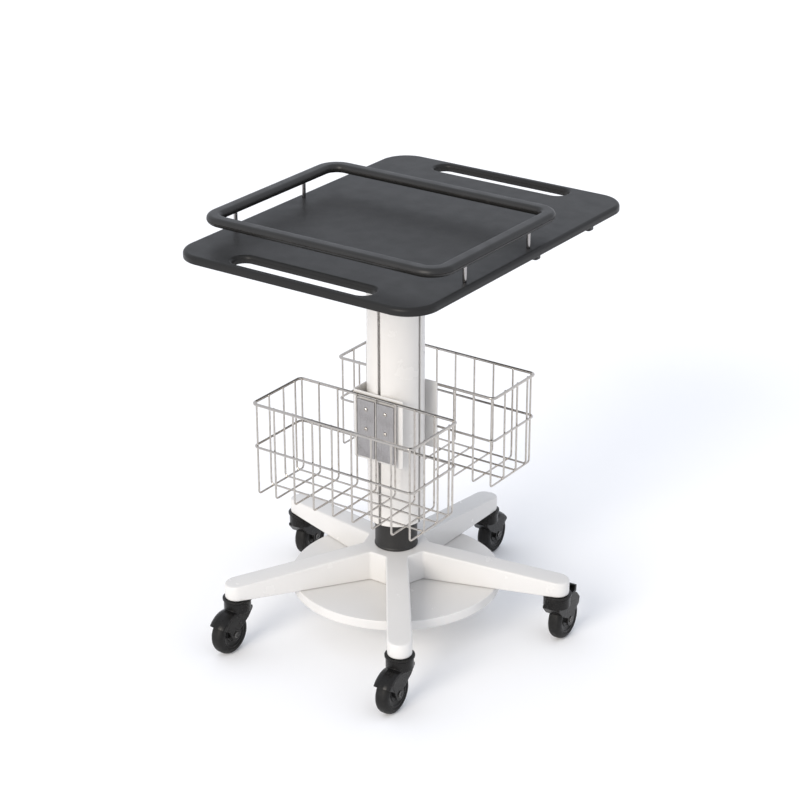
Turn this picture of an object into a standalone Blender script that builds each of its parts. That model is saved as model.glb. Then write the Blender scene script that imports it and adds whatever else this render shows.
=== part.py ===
"""A medication cart: worktop with a guard rail on a slotted column, two wire baskets hung on one
bracket, and a five-legged base with a ballast plate and five swivelling casters.

Units are metres, +Z is up. The floor is z = 0. Every part hangs on one empty that stands on the
floor under the column, which is a little in front of the middle of the footprint."""

import math

import bmesh
import bpy
from mathutils import Matrix, Vector

# ---------------------------------------------------------------- driving dimensions

GAP = 0.0003                 # clearance between pieces that touch
MERGE_DISTANCE = 0.000001    # points closer than this are one point
COLUMN_Y = -0.0290           # the column stands this far from the middle of the footprint

WORKTOP_WIDTH = 0.457        # along X
WORKTOP_LENGTH = 0.610       # along Y
WORKTOP_MIDDLE_Y = 0.033     # from the column
WORKTOP_TOP = 0.6894
WORKTOP_THICK = 0.0126
WORKTOP_CORNER = 0.050
WORKTOP_EDGE = 0.0060        # rounding of the top edges
WORKTOP_LOW_EDGE = 0.0012    # chamfer of the lower edges
HANDLE_LENGTH = 0.256
HANDLE_WIDTH = 0.0368
HANDLE_OFFSET = 0.2716       # from the worktop's middle to each handle slot's middle

RAIL_WIDTH = 0.451           # outside, along X
RAIL_LENGTH = 0.351          # outside, along Y
RAIL_MIDDLE_Y = -0.0375
RAIL_CORNER = 0.040          # outside
RAIL_BAR_WIDTH = 0.024
RAIL_BAR_HEIGHT = 0.0146
RAIL_HEIGHT = 0.0340         # bar centre above the worktop
RAIL_POST_RADIUS = 0.0032
RAIL_POST_Y = (-0.129, 0.047)

BATTEN_Y = (0.063, 0.223)
BATTEN_WIDTH = 0.015
BATTEN_HEIGHT = 0.0085
BATTEN_REACH = 0.2235        # half the batten's length
BATTEN_EDGE = 0.0012

TOP_PLATE_SIZE = (0.180, 0.136)
TOP_PLATE_MIDDLE_Y = -0.018
TOP_PLATE_THICK = 0.006
TOP_PLATE_SPIGOT = 0.030
TOP_PLATE_CORNER = 0.012
JOIN_OVERLAP = 0.002         # how far joined shapes reach into each other

COLUMN_RADIUS = 0.0468
COLUMN_BORE = 0.0365
COLUMN_BOTTOM = 0.195
SLOT_MOUTH = 0.0055
SLOT_LIP = 0.0028
SLOT_CHAMBER_WIDTH = 0.0110
SLOT_CHAMBER_DEPTH = 0.0052

COLLAR_RADIUS = 0.0348
COLLAR_SPIGOT = 0.025        # height of the spigot inside the column
COLLAR_FLANGE = 0.004        # height of the flange under the column, and its inset
COLLAR_EDGE = 0.0012
POST_RADIUS = 0.0300
POST_WALL = 0.0030
POST_TOP = 0.330

LEG_COUNT = 5
FIRST_LEG = 90.0             # degrees, the leg that points to +Y
CASTER_CIRCLE = 0.274        # radius of the circle through the five caster stems
LEG_UNDERSIDE = 0.0915
LEG_TOP_AT_HUB = 0.1435
LEG_TOP_AT_END = 0.1185
LEG_HALF_AT_HUB = 0.0185
LEG_HALF_AT_END = 0.0197
HUB_FLAT = 0.0500            # from the axis to the flats between the legs
LEG_EDGE = 0.0022

BALLAST_RADIUS = 0.1740
BALLAST_THICK = 0.0165
BALLAST_EDGE = 0.0009

BOLT_RADIUS = 0.0060
BOLT_ABOVE_HUB = 0.012
BOLT_HEAD_RADIUS = 0.0110
BOLT_HEAD_HEIGHT = 0.007
BOLT_BORE = BOLT_RADIUS + GAP

BRACKET_TOP = 0.4265
BRACKET_HEIGHT = 0.118
BRACKET_REACH = 0.0475       # half width along X
BRACKET_FACE = 0.0496        # from the column axis to the face that carries a basket
BRACKET_THICK = 0.0022
CLAMP_WIDTH = 0.0334
CLAMP_TOP = 0.4160
CLAMP_HEIGHT = 0.100
CLAMP_THICK = 0.0020
CLAMP_CENTRE_X = 0.0187
CLAMP_SCREW_Z = (0.400, 0.366)
SCREW_SHANK = 0.0020
SCREW_HEAD = 0.0036
SCREW_HEAD_HEIGHT = 0.0018
NUT_STUD_Z = (0.330, 0.385)  # studs that hold the bracket to the column
NUT_BELOW_TOP = 0.010        # how far the nut bar ends below the bracket's top

BASKET_HALF_WIDTH = 0.1530   # to the middle of the rim wire
BASKET_DEPTH = 0.1250
BASKET_NEAR_Y = 0.0524       # from the column axis to the rim wire next to the column
BASKET_RIM_Z = 0.4207
BASKET_MID_Z = 0.3460
BASKET_FLOOR_Z = 0.2625
RIM_WIRE = 0.0025            # radii of the wires
MID_WIRE = 0.0020
CAGE_WIRE = 0.0016
WIRE_BITE = 0.0007           # how far welded wires sink into each other
RIM_BEND = 0.008
RIB_BEND = 0.004
RIB_ABOVE_RIM = 0.0006       # how far the ribs' ends stand above the middle of the rim wire
RIB_X = (-0.147, -0.1125, -0.075, -0.0375, 0.0, 0.0375, 0.075, 0.1125, 0.147)
CROSS_RIB_OFFSETS = (0.039, 0.076, 0.107)   # from the basket's side that faces -Y

STEM_RADIUS = 0.0055
STEM_HEIGHT = 0.020
CAP_RADIUS = 0.0240
CAP_THICK = 0.0044
CAP_EDGE = 0.0008
PIVOT_RADIUS = 0.0060
PIVOT_DEPTH = 0.0100
FORK_BODY_RADIUS = 0.0222
FORK_BODY_BOTTOM = 0.0690
TRAIL = 0.0227               # from the swivel axis to the axle
WHEEL_RADIUS = 0.0355
WHEEL_HALF_WIDTH = 0.0118
TREAD_ROUND = 0.0090
TYRE_BORE = 0.0245
HUB_HALF_WIDTH = 0.0108
HUB_DISH = 0.0030
HUB_RIM = 0.003              # width of the hub's flat rim
HUB_BOSS_RADIUS = 0.0110
HUB_SLOPE = 0.0018           # width of the slopes down into the dish
AXLE_RADIUS = 0.0045
AXLE_HEAD_RADIUS = 0.0058
AXLE_HEAD_HEIGHT = 0.0012
AXLE_BITE = 0.0005           # how far the shaft reaches into its heads
FORK_HALF_WIDTH = 0.0155
FORK_NOSE = ((-0.0195, 0.0725), (-0.0200, 0.0680), (-0.0085, 0.0545))
FORK_EDGE = 0.0012
HOOD_CROWN = ((0.0151, 0.0345), (0.0144, 0.0362), (0.0100, 0.0384), (0.0050, 0.0397))
HOOD_INSIDE = ((0.0128, 0.0325), (0.0100, 0.0350), (0.0050, 0.0368))
HOOD_ROOT = 0.009            # radius at which the hood's solid sector starts
HOOD_TIP_ANGLE = 33.0        # degrees above the axle, on the trailing side
HOOD_END_ANGLE = 105.0
TONGUE_RADIUS = 0.0110       # of the fork's rounded ends around the axle

# name, angle of the leg, direction in which the wheel trails, has a brake
CASTERS = (
    ("rear", FIRST_LEG, 93.0, False),
    ("right", FIRST_LEG - 72.0, 93.0, True),
    ("front_right", FIRST_LEG - 144.0, -88.0, False),
    ("front_left", FIRST_LEG + 144.0, -92.0, False),
    ("left", FIRST_LEG + 72.0, 93.0, True),
)

# brake housing and pedal from the side, as (distance behind the swivel axis, height)
HOUSING_OUTLINE = (
    (0.0180, 0.0850),
    (0.0180, 0.0650),
    (0.0360, 0.0560),
    (0.0500, 0.0545),
    (0.0527, 0.0646),
    (0.0417, 0.0773),
    (0.0300, 0.0835),
)
HOUSING_HALF_WIDTH = 0.0153
POCKET_FRONT = 0.0290
POCKET_FLOOR = 0.0745
PEDAL_PIVOT = (0.0330, 0.0785)
PEDAL_NOSE = 0.0032
PEDAL_OUTLINE = (
    (0.0450, 0.0772),
    (0.0458, 0.0893),
    (0.0395, 0.0905),
    (0.0385, 0.0822),
)
PEDAL_HALF_WIDTH = 0.0125
POCKET_HALF_WIDTH = 0.0128
POCKET_CUT = 0.05            # the pocket's cutter, long enough to open it at the top and the back
PEDAL_PIN_RADIUS = 0.0016
PEDAL_PIN_REACH = 0.0146

ROUND_STEPS = 32
SMALL_STEPS = 16
TINY_STEPS = 8
DISC_STEPS = 48
HEXAGON = 6
CUT_OVER = 0.01              # how far a cutter reaches past the face that it opens
CUT_REACH = 0.03             # half length of a cutter that goes right across a fork
WHEEL_STEPS = 24
SHARP_ANGLE = math.radians(35.0)

# ---------------------------------------------------------------- derived heights

WORKTOP_UNDERSIDE = WORKTOP_TOP - WORKTOP_THICK
TOP_PLATE_TOP = WORKTOP_UNDERSIDE - GAP
COLUMN_TOP = TOP_PLATE_TOP - TOP_PLATE_THICK - GAP
RAIL_Z = WORKTOP_TOP + RAIL_HEIGHT
COLLAR_BOTTOM = LEG_TOP_AT_HUB + GAP
CAP_TOP = LEG_UNDERSIDE - GAP
FORK_TOP = CAP_TOP - CAP_THICK - GAP


def clear_scene():
    for old in list(bpy.data.objects):
        bpy.data.objects.remove(old, do_unlink=True)


def material(name, colour, roughness, metallic=0.0):
    made = bpy.data.materials.new(name)
    made.use_nodes = True
    shader = made.node_tree.nodes["Principled BSDF"]
    shader.inputs["Base Color"].default_value = (*colour, 1.0)
    shader.inputs["Roughness"].default_value = roughness
    shader.inputs["Metallic"].default_value = metallic
    return made


# ---------------------------------------------------------------- making meshes


def object_of(bm, name, finish=None):
    """An object made of the bmesh, with outward normals and round faces shaded smooth."""
    bmesh.ops.recalc_face_normals(bm, faces=bm.faces)
    mesh = bpy.data.meshes.new(name)
    bm.to_mesh(mesh)
    bm.free()
    made = bpy.data.objects.new(name, mesh)
    bpy.context.scene.collection.objects.link(made)
    if finish:
        mesh.materials.append(finish)
    mesh.shade_smooth()
    mesh.set_sharp_from_angle(angle=SHARP_ANGLE)
    return made


def arc(centre, radius, start, end, steps):
    """Points on an arc in a plane, from start to end in degrees."""
    angles = [math.radians(start + (end - start) * i / steps) for i in range(steps + 1)]
    return [(centre[0] + radius * math.cos(a), centre[1] + radius * math.sin(a)) for a in angles]


def rounded_rectangle(half_x, half_y, radius, steps, middle=(0.0, 0.0)):
    """The outline of a rectangle with round corners, anticlockwise."""
    points = []
    for quarter, (sx, sy) in enumerate(((1, 1), (-1, 1), (-1, -1), (1, -1))):
        centre = (middle[0] + sx * (half_x - radius), middle[1] + sy * (half_y - radius))
        points += arc(centre, radius, 90.0 * quarter, 90.0 * (quarter + 1), steps)
    return [p for i, p in enumerate(points) if math.dist(p, points[i - 1]) > MERGE_DISTANCE]


def prism(outline, low, high):
    """A bmesh of the outline in XY, extruded from low to high."""
    bm = bmesh.new()
    base = bm.faces.new([bm.verts.new((x, y, low)) for x, y in outline])
    extruded = bmesh.ops.extrude_face_region(bm, geom=[base])
    top = [v for v in extruded["geom"] if isinstance(v, bmesh.types.BMVert)]
    bmesh.ops.translate(bm, vec=(0.0, 0.0, high - low), verts=top)
    return bm


def rim(bm, layers):
    """Side faces through (outline, height) layers; gives the lowest and the highest ring."""
    rings = [[bm.verts.new((x, y, z)) for x, y in outline] for outline, z in layers]
    for ring, above in zip(rings, rings[1:]):
        for i, corner in enumerate(ring):
            after = (i + 1) % len(ring)
            bm.faces.new((corner, ring[after], above[after], above[i]))
    return rings[0], rings[-1]


def fill(bm, rings):
    """Flat faces between an outer ring of points and the rings inside it."""
    edges = [bm.edges.get((ring[i - 1], ring[i])) for ring in rings for i in range(len(ring))]
    bmesh.ops.triangle_fill(bm, edges=edges, use_beauty=True, normal=(0.0, 0.0, 1.0))


def plate(outline, half_width):
    """A bmesh of an outline given as (y, z), extruded along X to both sides."""
    bm = prism(outline, -half_width, half_width)
    turn = Matrix(((0, 0, 1, 0), (1, 0, 0, 0), (0, 1, 0, 0), (0, 0, 0, 1)))
    bmesh.ops.transform(bm, matrix=turn, verts=bm.verts)
    return bm


def turned(profile, steps):
    """A bmesh of a closed profile of (radius, height) points, turned about Z."""
    bm = bmesh.new()
    corners = [bm.verts.new((r, 0.0, z)) for r, z in profile]
    edges = [bm.edges.new((a, b)) for a, b in zip(corners, corners[1:] + corners[:1])]
    bmesh.ops.spin(
        bm,
        geom=corners + edges,
        cent=(0.0, 0.0, 0.0),
        axis=(0.0, 0.0, 1.0),
        angle=2.0 * math.pi,
        steps=steps,
        use_merge=True,
    )
    bmesh.ops.remove_doubles(bm, verts=bm.verts, dist=MERGE_DISTANCE)
    return bm


def cylinder(radius, low, high, steps=SMALL_STEPS):
    return prism(arc((0.0, 0.0), radius, 0.0, 360.0 - 360.0 / steps, steps - 1), low, high)


def box(x_range, y_range, z_range):
    outline = [(x_range[0], y_range[0]), (x_range[1], y_range[0])]
    outline += [(x_range[1], y_range[1]), (x_range[0], y_range[1])]
    return prism(outline, *z_range)


def along_x(bm):
    """Turns a shape made about Z so that it lies along X."""
    bmesh.ops.transform(bm, matrix=Matrix.Rotation(math.radians(90.0), 4, "Y"), verts=bm.verts)
    return bm


def along_y(bm):
    """Turns a shape made about Z so that it lies along Y."""
    bmesh.ops.transform(bm, matrix=Matrix.Rotation(math.radians(-90.0), 4, "X"), verts=bm.verts)
    return bm


def moved(bm, x=0.0, y=0.0, z=0.0):
    bmesh.ops.translate(bm, vec=(x, y, z), verts=bm.verts)
    return bm


def round_edges(target, width, segments, angle=50.0):
    bevel = target.modifiers.new("edges", "BEVEL")
    bevel.width = width
    bevel.segments = segments
    bevel.limit_method = "ANGLE"
    bevel.angle_limit = math.radians(angle)


def hide_helper(helper):
    helper.hide_render = True
    helper.display_type = "WIRE"


def combine(target, bm, operation):
    """A Boolean on the target with a helper made of the bmesh."""
    helper = object_of(bm, target.name + "_helper")
    hide_helper(helper)
    helper.parent = target
    change = target.modifiers.new(operation.lower(), "BOOLEAN")
    change.operation = operation
    change.solver = "EXACT"
    change.object = helper


def cut(target, bm):
    combine(target, bm, "DIFFERENCE")


def join(target, bm):
    combine(target, bm, "UNION")


def tube(name, points, radius, closed=False, resolution=0):
    """A mesh object of a wire bent along the points."""
    path = bpy.data.curves.new(name, "CURVE")
    path.dimensions = "3D"
    path.bevel_depth = radius
    path.bevel_resolution = resolution
    path.use_fill_caps = not closed
    line = path.splines.new("POLY")
    line.points.add(len(points) - 1)
    for spot, place in zip(line.points, points):
        spot.co = (*place, 1.0)
    line.use_cyclic_u = closed
    guide = bpy.data.objects.new(name, path)
    bpy.context.scene.collection.objects.link(guide)
    bpy.context.view_layer.update()
    evaluated = guide.evaluated_get(bpy.context.evaluated_depsgraph_get())
    mesh = bpy.data.meshes.new_from_object(evaluated)
    bpy.data.objects.remove(guide)
    made = bpy.data.objects.new(name, mesh)
    bpy.context.scene.collection.objects.link(made)
    bm = bmesh.new()
    bm.from_mesh(mesh)
    bmesh.ops.remove_doubles(bm, verts=bm.verts, dist=MERGE_DISTANCE)
    bmesh.ops.recalc_face_normals(bm, faces=bm.faces)
    bm.to_mesh(mesh)
    bm.free()
    return made


def attach(child, parent, x=0.0, y=0.0, z=0.0, turn=0.0):
    child.parent = parent
    child.location = (x, y, z)
    child.rotation_euler = (0.0, 0.0, math.radians(turn))
    return child


# ---------------------------------------------------------------- worktop and rail


def handle_middles():
    return [WORKTOP_MIDDLE_Y + side * HANDLE_OFFSET for side in (-1, 1)]


def worktop_edge():
    """(inset, height) pairs up a worktop edge: a chamfer below, a quarter round above."""
    layers = [(WORKTOP_LOW_EDGE, WORKTOP_UNDERSIDE), (0.0, WORKTOP_UNDERSIDE + WORKTOP_LOW_EDGE)]
    centre = (WORKTOP_EDGE, WORKTOP_TOP - WORKTOP_EDGE)
    return layers + arc(centre, WORKTOP_EDGE, 180.0, 90.0, 3)


def make_worktop(cart, finish):
    """A slab with two handle slots, all with the same soft edges."""
    bm = bmesh.new()
    middle = (0.0, WORKTOP_MIDDLE_Y)
    layers = []
    for inset, z in worktop_edge():
        half_x, half_y = WORKTOP_WIDTH / 2 - inset, WORKTOP_LENGTH / 2 - inset
        layers.append((rounded_rectangle(half_x, half_y, WORKTOP_CORNER - inset, 6, middle), z))
    rims = [rim(bm, layers)]
    for y in handle_middles():
        layers = []
        for inset, z in worktop_edge():
            half_x, half_y = HANDLE_LENGTH / 2 + inset, HANDLE_WIDTH / 2 + inset
            layers.append((rounded_rectangle(half_x, half_y, half_y, 4, (0.0, y)), z))
        rims.append(rim(bm, layers))
    for rings in zip(*rims):
        fill(bm, rings)
    attach(object_of(bm, "worktop", finish), cart)


def rail_section():
    """The guard rail's section: flat top and bottom, half-round sides."""
    flat = RAIL_BAR_WIDTH / 2 - RAIL_BAR_HEIGHT / 2
    return arc((flat, 0.0), RAIL_BAR_HEIGHT / 2, -90.0, 90.0, 3) + arc(
        (-flat, 0.0), RAIL_BAR_HEIGHT / 2, 90.0, 270.0, 3
    )


def make_guard_rail(cart, finish):
    """The section carried round a rectangle with round corners."""
    centre_radius = RAIL_CORNER - RAIL_BAR_WIDTH / 2
    half_x = RAIL_WIDTH / 2 - RAIL_BAR_WIDTH / 2
    half_y = RAIL_LENGTH / 2 - RAIL_BAR_WIDTH / 2
    bm = bmesh.new()
    rings = []
    for quarter, (sx, sy) in enumerate(((1, 1), (-1, 1), (-1, -1), (1, -1))):
        centre = Vector((sx * (half_x - centre_radius), sy * (half_y - centre_radius), 0.0))
        for step in range(6):
            turn = math.radians(90.0 * quarter + 18.0 * step)
            outward = Vector((math.cos(turn), math.sin(turn), 0.0))
            middle = centre + outward * centre_radius
            ring = [middle + outward * r + Vector((0.0, 0.0, z)) for r, z in rail_section()]
            rings.append([bm.verts.new(point) for point in ring])
    for ring, following in zip(rings, rings[1:] + rings[:1]):
        for i, corner in enumerate(ring):
            j = (i + 1) % len(ring)
            bm.faces.new((corner, ring[j], following[j], following[i]))
    rail = object_of(bm, "guard_rail", finish)
    attach(rail, cart, y=RAIL_MIDDLE_Y, z=RAIL_Z)


def make_rail_posts(cart, finish):
    x = RAIL_WIDTH / 2 - RAIL_BAR_WIDTH / 2
    top = RAIL_Z - RAIL_BAR_HEIGHT / 2 - GAP
    for y, end in zip(RAIL_POST_Y, ("front", "rear")):
        for side, hand in ((-1, "left"), (1, "right")):
            post = object_of(
                cylinder(RAIL_POST_RADIUS, WORKTOP_TOP + GAP, top, 12),
                f"rail_post_{end}_{hand}",
                finish,
            )
            attach(post, cart, x=side * x, y=y)


def make_battens(cart, finish):
    top = WORKTOP_UNDERSIDE - GAP
    for y, end in zip(BATTEN_Y, ("middle", "rear")):
        bm = box(
            (-BATTEN_REACH, BATTEN_REACH),
            (-BATTEN_WIDTH / 2, BATTEN_WIDTH / 2),
            (top - BATTEN_HEIGHT, top),
        )
        batten = object_of(bm, f"worktop_batten_{end}", finish)
        round_edges(batten, BATTEN_EDGE, 1)
        attach(batten, cart, y=y)


def make_top_plate(cart, finish):
    half_x, half_y = TOP_PLATE_SIZE[0] / 2, TOP_PLATE_SIZE[1] / 2
    outline = rounded_rectangle(half_x, half_y, TOP_PLATE_CORNER, 4, (0.0, TOP_PLATE_MIDDLE_Y))
    low = TOP_PLATE_TOP - TOP_PLATE_THICK
    mount = object_of(prism(outline, low, TOP_PLATE_TOP), "top_plate", finish)
    join(mount, cylinder(COLUMN_BORE - GAP, low - TOP_PLATE_SPIGOT, low + JOIN_OVERLAP, ROUND_STEPS))
    attach(mount, cart)


# ---------------------------------------------------------------- column and base


def column_outline():
    """The column's outside with a T slot in the middle of each quarter, anticlockwise."""
    mouth_angle = math.degrees(math.asin(SLOT_MOUTH / 2 / COLUMN_RADIUS))
    lip = COLUMN_RADIUS - SLOT_LIP
    floor = lip - SLOT_CHAMBER_DEPTH
    half_mouth, half_chamber = SLOT_MOUTH / 2, SLOT_CHAMBER_WIDTH / 2
    points = []
    for quarter in range(4):
        turn = math.radians(90.0 * quarter)
        out = Vector((math.cos(turn), math.sin(turn)))
        across = Vector((-math.sin(turn), math.cos(turn)))
        slot = [
            out * lip - across * half_mouth,
            out * lip - across * half_chamber,
            out * floor - across * half_chamber,
            out * floor + across * half_chamber,
            out * lip + across * half_chamber,
            out * lip + across * half_mouth,
        ]
        points += [(p.x, p.y) for p in slot]
        start = 90.0 * quarter + mouth_angle
        end = 90.0 * (quarter + 1) - mouth_angle
        points += arc((0.0, 0.0), COLUMN_RADIUS, start, end, 8)
    return points


def make_column(cart, finish):
    column = object_of(prism(column_outline(), COLUMN_BOTTOM, COLUMN_TOP), "column", finish)
    cut(column, cylinder(COLUMN_BORE, COLUMN_BOTTOM - CUT_OVER, COLUMN_TOP + CUT_OVER, ROUND_STEPS))
    attach(column, cart)


def make_collar(cart, finish):
    """The black neck between base and column, with a spigot inside the column."""
    bore = POST_RADIUS + GAP
    shoulder = COLUMN_BOTTOM - GAP
    spigot = COLUMN_BORE - GAP
    profile = [
        (bore, COLLAR_BOTTOM),
        (COLLAR_RADIUS - COLLAR_EDGE, COLLAR_BOTTOM),
        (COLLAR_RADIUS, COLLAR_BOTTOM + COLLAR_EDGE),
        (COLLAR_RADIUS, shoulder - COLLAR_FLANGE),
        (COLUMN_RADIUS - COLLAR_FLANGE, shoulder - COLLAR_FLANGE),
        (COLUMN_RADIUS - COLLAR_FLANGE, shoulder),
        (spigot, shoulder),
        (spigot, shoulder + COLLAR_SPIGOT),
        (bore, shoulder + COLLAR_SPIGOT),
    ]
    attach(object_of(turned(profile, ROUND_STEPS), "base_collar", finish), cart)


def make_inner_post(cart, finish):
    inner = POST_RADIUS - POST_WALL
    profile = [
        (inner, COLLAR_BOTTOM),
        (POST_RADIUS, COLLAR_BOTTOM),
        (POST_RADIUS, POST_TOP),
        (inner, POST_TOP),
    ]
    attach(object_of(turned(profile, ROUND_STEPS), "inner_post", finish), cart)


def leg_frame(index):
    """The direction along a leg and the direction across it."""
    turn = math.radians(FIRST_LEG + 360.0 / LEG_COUNT * index)
    return Vector((math.cos(turn), math.sin(turn), 0.0)), Vector((-math.sin(turn), math.cos(turn), 0.0))


def make_star_base(cart, finish):
    """Five legs on a ten-sided hub: flat underside, tops that slope down to round ends."""
    bm = bmesh.new()
    root = HUB_FLAT * math.cos(math.radians(180.0 / LEG_COUNT)) + LEG_HALF_AT_HUB * math.sin(
        math.radians(180.0 / LEG_COUNT)
    )
    slope = (LEG_TOP_AT_END - LEG_TOP_AT_HUB) / (CASTER_CIRCLE - root)
    hub_top, hub_bottom = [], []
    for index in range(LEG_COUNT):
        along, across = leg_frame(index)
        outline = [(root, -LEG_HALF_AT_HUB)]
        outline += arc((CASTER_CIRCLE, 0.0), LEG_HALF_AT_END, -90.0, 90.0, 8)
        outline += [(root, LEG_HALF_AT_HUB)]
        top, bottom = [], []
        for distance, side in outline:
            flat = along * distance + across * side
            height = LEG_TOP_AT_HUB + slope * (distance - root)
            top.append(bm.verts.new((flat.x, flat.y, height)))
            bottom.append(bm.verts.new((flat.x, flat.y, LEG_UNDERSIDE)))
        bm.faces.new(top)
        bm.faces.new(bottom)
        for i in range(len(top) - 1):
            bm.faces.new((top[i], top[i + 1], bottom[i + 1], bottom[i]))
        hub_top += [top[0], top[-1]]
        hub_bottom += [bottom[0], bottom[-1]]
    bm.faces.new(hub_top)
    bm.faces.new(hub_bottom)
    for i in range(1, len(hub_top), 2):
        j = (i + 1) % len(hub_top)
        bm.faces.new((hub_top[i], hub_top[j], hub_bottom[j], hub_bottom[i]))
    star = object_of(bm, "star_base", finish)
    round_edges(star, LEG_EDGE, 2, 60.0)
    for index in range(LEG_COUNT):
        place = leg_frame(index)[0] * CASTER_CIRCLE
        bore = cylinder(STEM_RADIUS + GAP, LEG_UNDERSIDE - CUT_OVER, CAP_TOP + STEM_HEIGHT + 2 * GAP)
        cut(star, moved(bore, place.x, place.y))
    cut(star, cylinder(BOLT_BORE, LEG_UNDERSIDE - CUT_OVER, LEG_TOP_AT_HUB + CUT_OVER, SMALL_STEPS))
    attach(star, cart)


def make_ballast(cart, finish):
    top = LEG_UNDERSIDE - GAP
    low = top - BALLAST_THICK
    edge = BALLAST_EDGE
    profile = [
        (BOLT_BORE, low),
        (BALLAST_RADIUS - edge, low),
        (BALLAST_RADIUS, low + edge),
        (BALLAST_RADIUS, top - edge),
        (BALLAST_RADIUS - edge, top),
        (BOLT_BORE, top),
    ]
    attach(object_of(turned(profile, DISC_STEPS), "ballast_plate", finish), cart)


def make_centre_bolt(cart, finish):
    """Holds ballast plate and star base together, its head under the plate."""
    low = LEG_UNDERSIDE - GAP - BALLAST_THICK - GAP
    top = LEG_TOP_AT_HUB + BOLT_ABOVE_HUB
    bolt = object_of(cylinder(BOLT_RADIUS, low - JOIN_OVERLAP, top), "centre_bolt", finish)
    join(bolt, cylinder(BOLT_HEAD_RADIUS, low - BOLT_HEAD_HEIGHT, low, HEXAGON))
    attach(bolt, cart)


# ---------------------------------------------------------------- baskets


def make_bracket(cart, finish):
    """A U of sheet metal round the column: one arm for each basket and a back on the -X side."""
    low = BRACKET_TOP - BRACKET_HEIGHT
    inner = BRACKET_FACE - BRACKET_THICK
    left = -BRACKET_REACH - BRACKET_THICK
    outline = [
        (BRACKET_REACH, BRACKET_FACE),
        (left, BRACKET_FACE),
        (left, -BRACKET_FACE),
        (BRACKET_REACH, -BRACKET_FACE),
        (BRACKET_REACH, -inner),
        (-BRACKET_REACH, -inner),
        (-BRACKET_REACH, inner),
        (BRACKET_REACH, inner),
    ]
    bracket = object_of(prism(outline, low, BRACKET_TOP), "basket_bracket", finish)
    drills = [(side * CLAMP_CENTRE_X, z) for side in (-1, 1) for z in CLAMP_SCREW_Z]
    drills += [(0.0, z) for z in NUT_STUD_Z]
    reach = BRACKET_FACE + CUT_OVER
    for x, z in drills:
        hole = along_y(cylinder(SCREW_SHANK + GAP, -reach, reach, TINY_STEPS))
        cut(bracket, moved(hole, x=x, z=z))
    attach(bracket, cart)


def make_slot_nuts(cart, finish):
    """A nut bar in the front slot and one in the rear slot, with two studs through the bracket."""
    floor = COLUMN_RADIUS - SLOT_LIP - SLOT_CHAMBER_DEPTH
    for side, end in ((-1, "front"), (1, "rear")):
        bm = box(
            (-SLOT_CHAMBER_WIDTH / 2 + GAP, SLOT_CHAMBER_WIDTH / 2 - GAP),
            (floor + GAP, COLUMN_RADIUS - SLOT_LIP - GAP),
            (BRACKET_TOP - BRACKET_HEIGHT, BRACKET_TOP - NUT_BELOW_TOP),
        )
        nut = object_of(bm, f"slot_nut_{end}", finish)
        for z in NUT_STUD_Z:
            stud = along_y(cylinder(SCREW_SHANK, floor + JOIN_OVERLAP, BRACKET_FACE - GAP, TINY_STEPS))
            join(nut, moved(stud, z=z))
        attach(nut, cart, turn=0.0 if side > 0 else 180.0)


def ring_inset(radius):
    """How far a ring or rim of this wire stands outside the cage wires welded to it."""
    return radius + CAGE_WIRE - WIRE_BITE


def clamp_face():
    """Distance from the column axis to the back of a clamp plate, just clear of the middle wire."""
    return BASKET_NEAR_Y + ring_inset(RIM_WIRE) - ring_inset(MID_WIRE) + MID_WIRE + GAP


def make_clamps(cart, finish, screw_finish):
    back = clamp_face()
    front = back + CLAMP_THICK
    for side, end in ((-1, "front"), (1, "rear")):
        for hand, name in ((-1, "left"), (1, "right")):
            bm = box(
                (-CLAMP_WIDTH / 2, CLAMP_WIDTH / 2),
                (back, front),
                (CLAMP_TOP - CLAMP_HEIGHT, CLAMP_TOP),
            )
            clamp = object_of(bm, f"clamp_plate_{end}_{name}", finish)
            for z in CLAMP_SCREW_Z:
                hole = along_y(cylinder(SCREW_SHANK + GAP, back - CUT_OVER, front + CUT_OVER, TINY_STEPS))
                cut(clamp, moved(hole, z=z))
            x = hand * CLAMP_CENTRE_X
            turn = 0.0 if side > 0 else 180.0
            attach(clamp, cart, x=x, turn=turn)
            for number, z in enumerate(CLAMP_SCREW_Z, 1):
                profile = [
                    (0.0, COLUMN_RADIUS + 2 * GAP),
                    (SCREW_SHANK, COLUMN_RADIUS + 2 * GAP),
                    (SCREW_SHANK, front + GAP),
                    (SCREW_HEAD, front + GAP),
                    (SCREW_HEAD, front + GAP + SCREW_HEAD_HEIGHT * 0.6),
                    (SCREW_HEAD * 0.72, front + GAP + SCREW_HEAD_HEIGHT),
                    (0.0, front + GAP + SCREW_HEAD_HEIGHT),
                ]
                screw = object_of(
                    along_y(turned(profile, TINY_STEPS)), f"clamp_screw_{end}_{name}_{number}", screw_finish
                )
                attach(screw, cart, x=x, z=z, turn=turn)


def wire_loop(half_x, low_y, high_y, z, radius):
    """Points round a basket's rectangle with bent corners."""
    middle = (0.0, (low_y + high_y) / 2)
    return [(x, y, z) for x, y in rounded_rectangle(half_x, (high_y - low_y) / 2, radius, 2, middle)]


def bent_u(ends, top, floor, bend):
    """Points of a U of wire between two horizontal positions."""
    first, second = ends
    inward = bend if second > first else -bend
    return [
        (first, top),
        (first, floor + bend),
        (first + inward, floor),
        (second - inward, floor),
        (second, floor + bend),
        (second, top),
    ]


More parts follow.
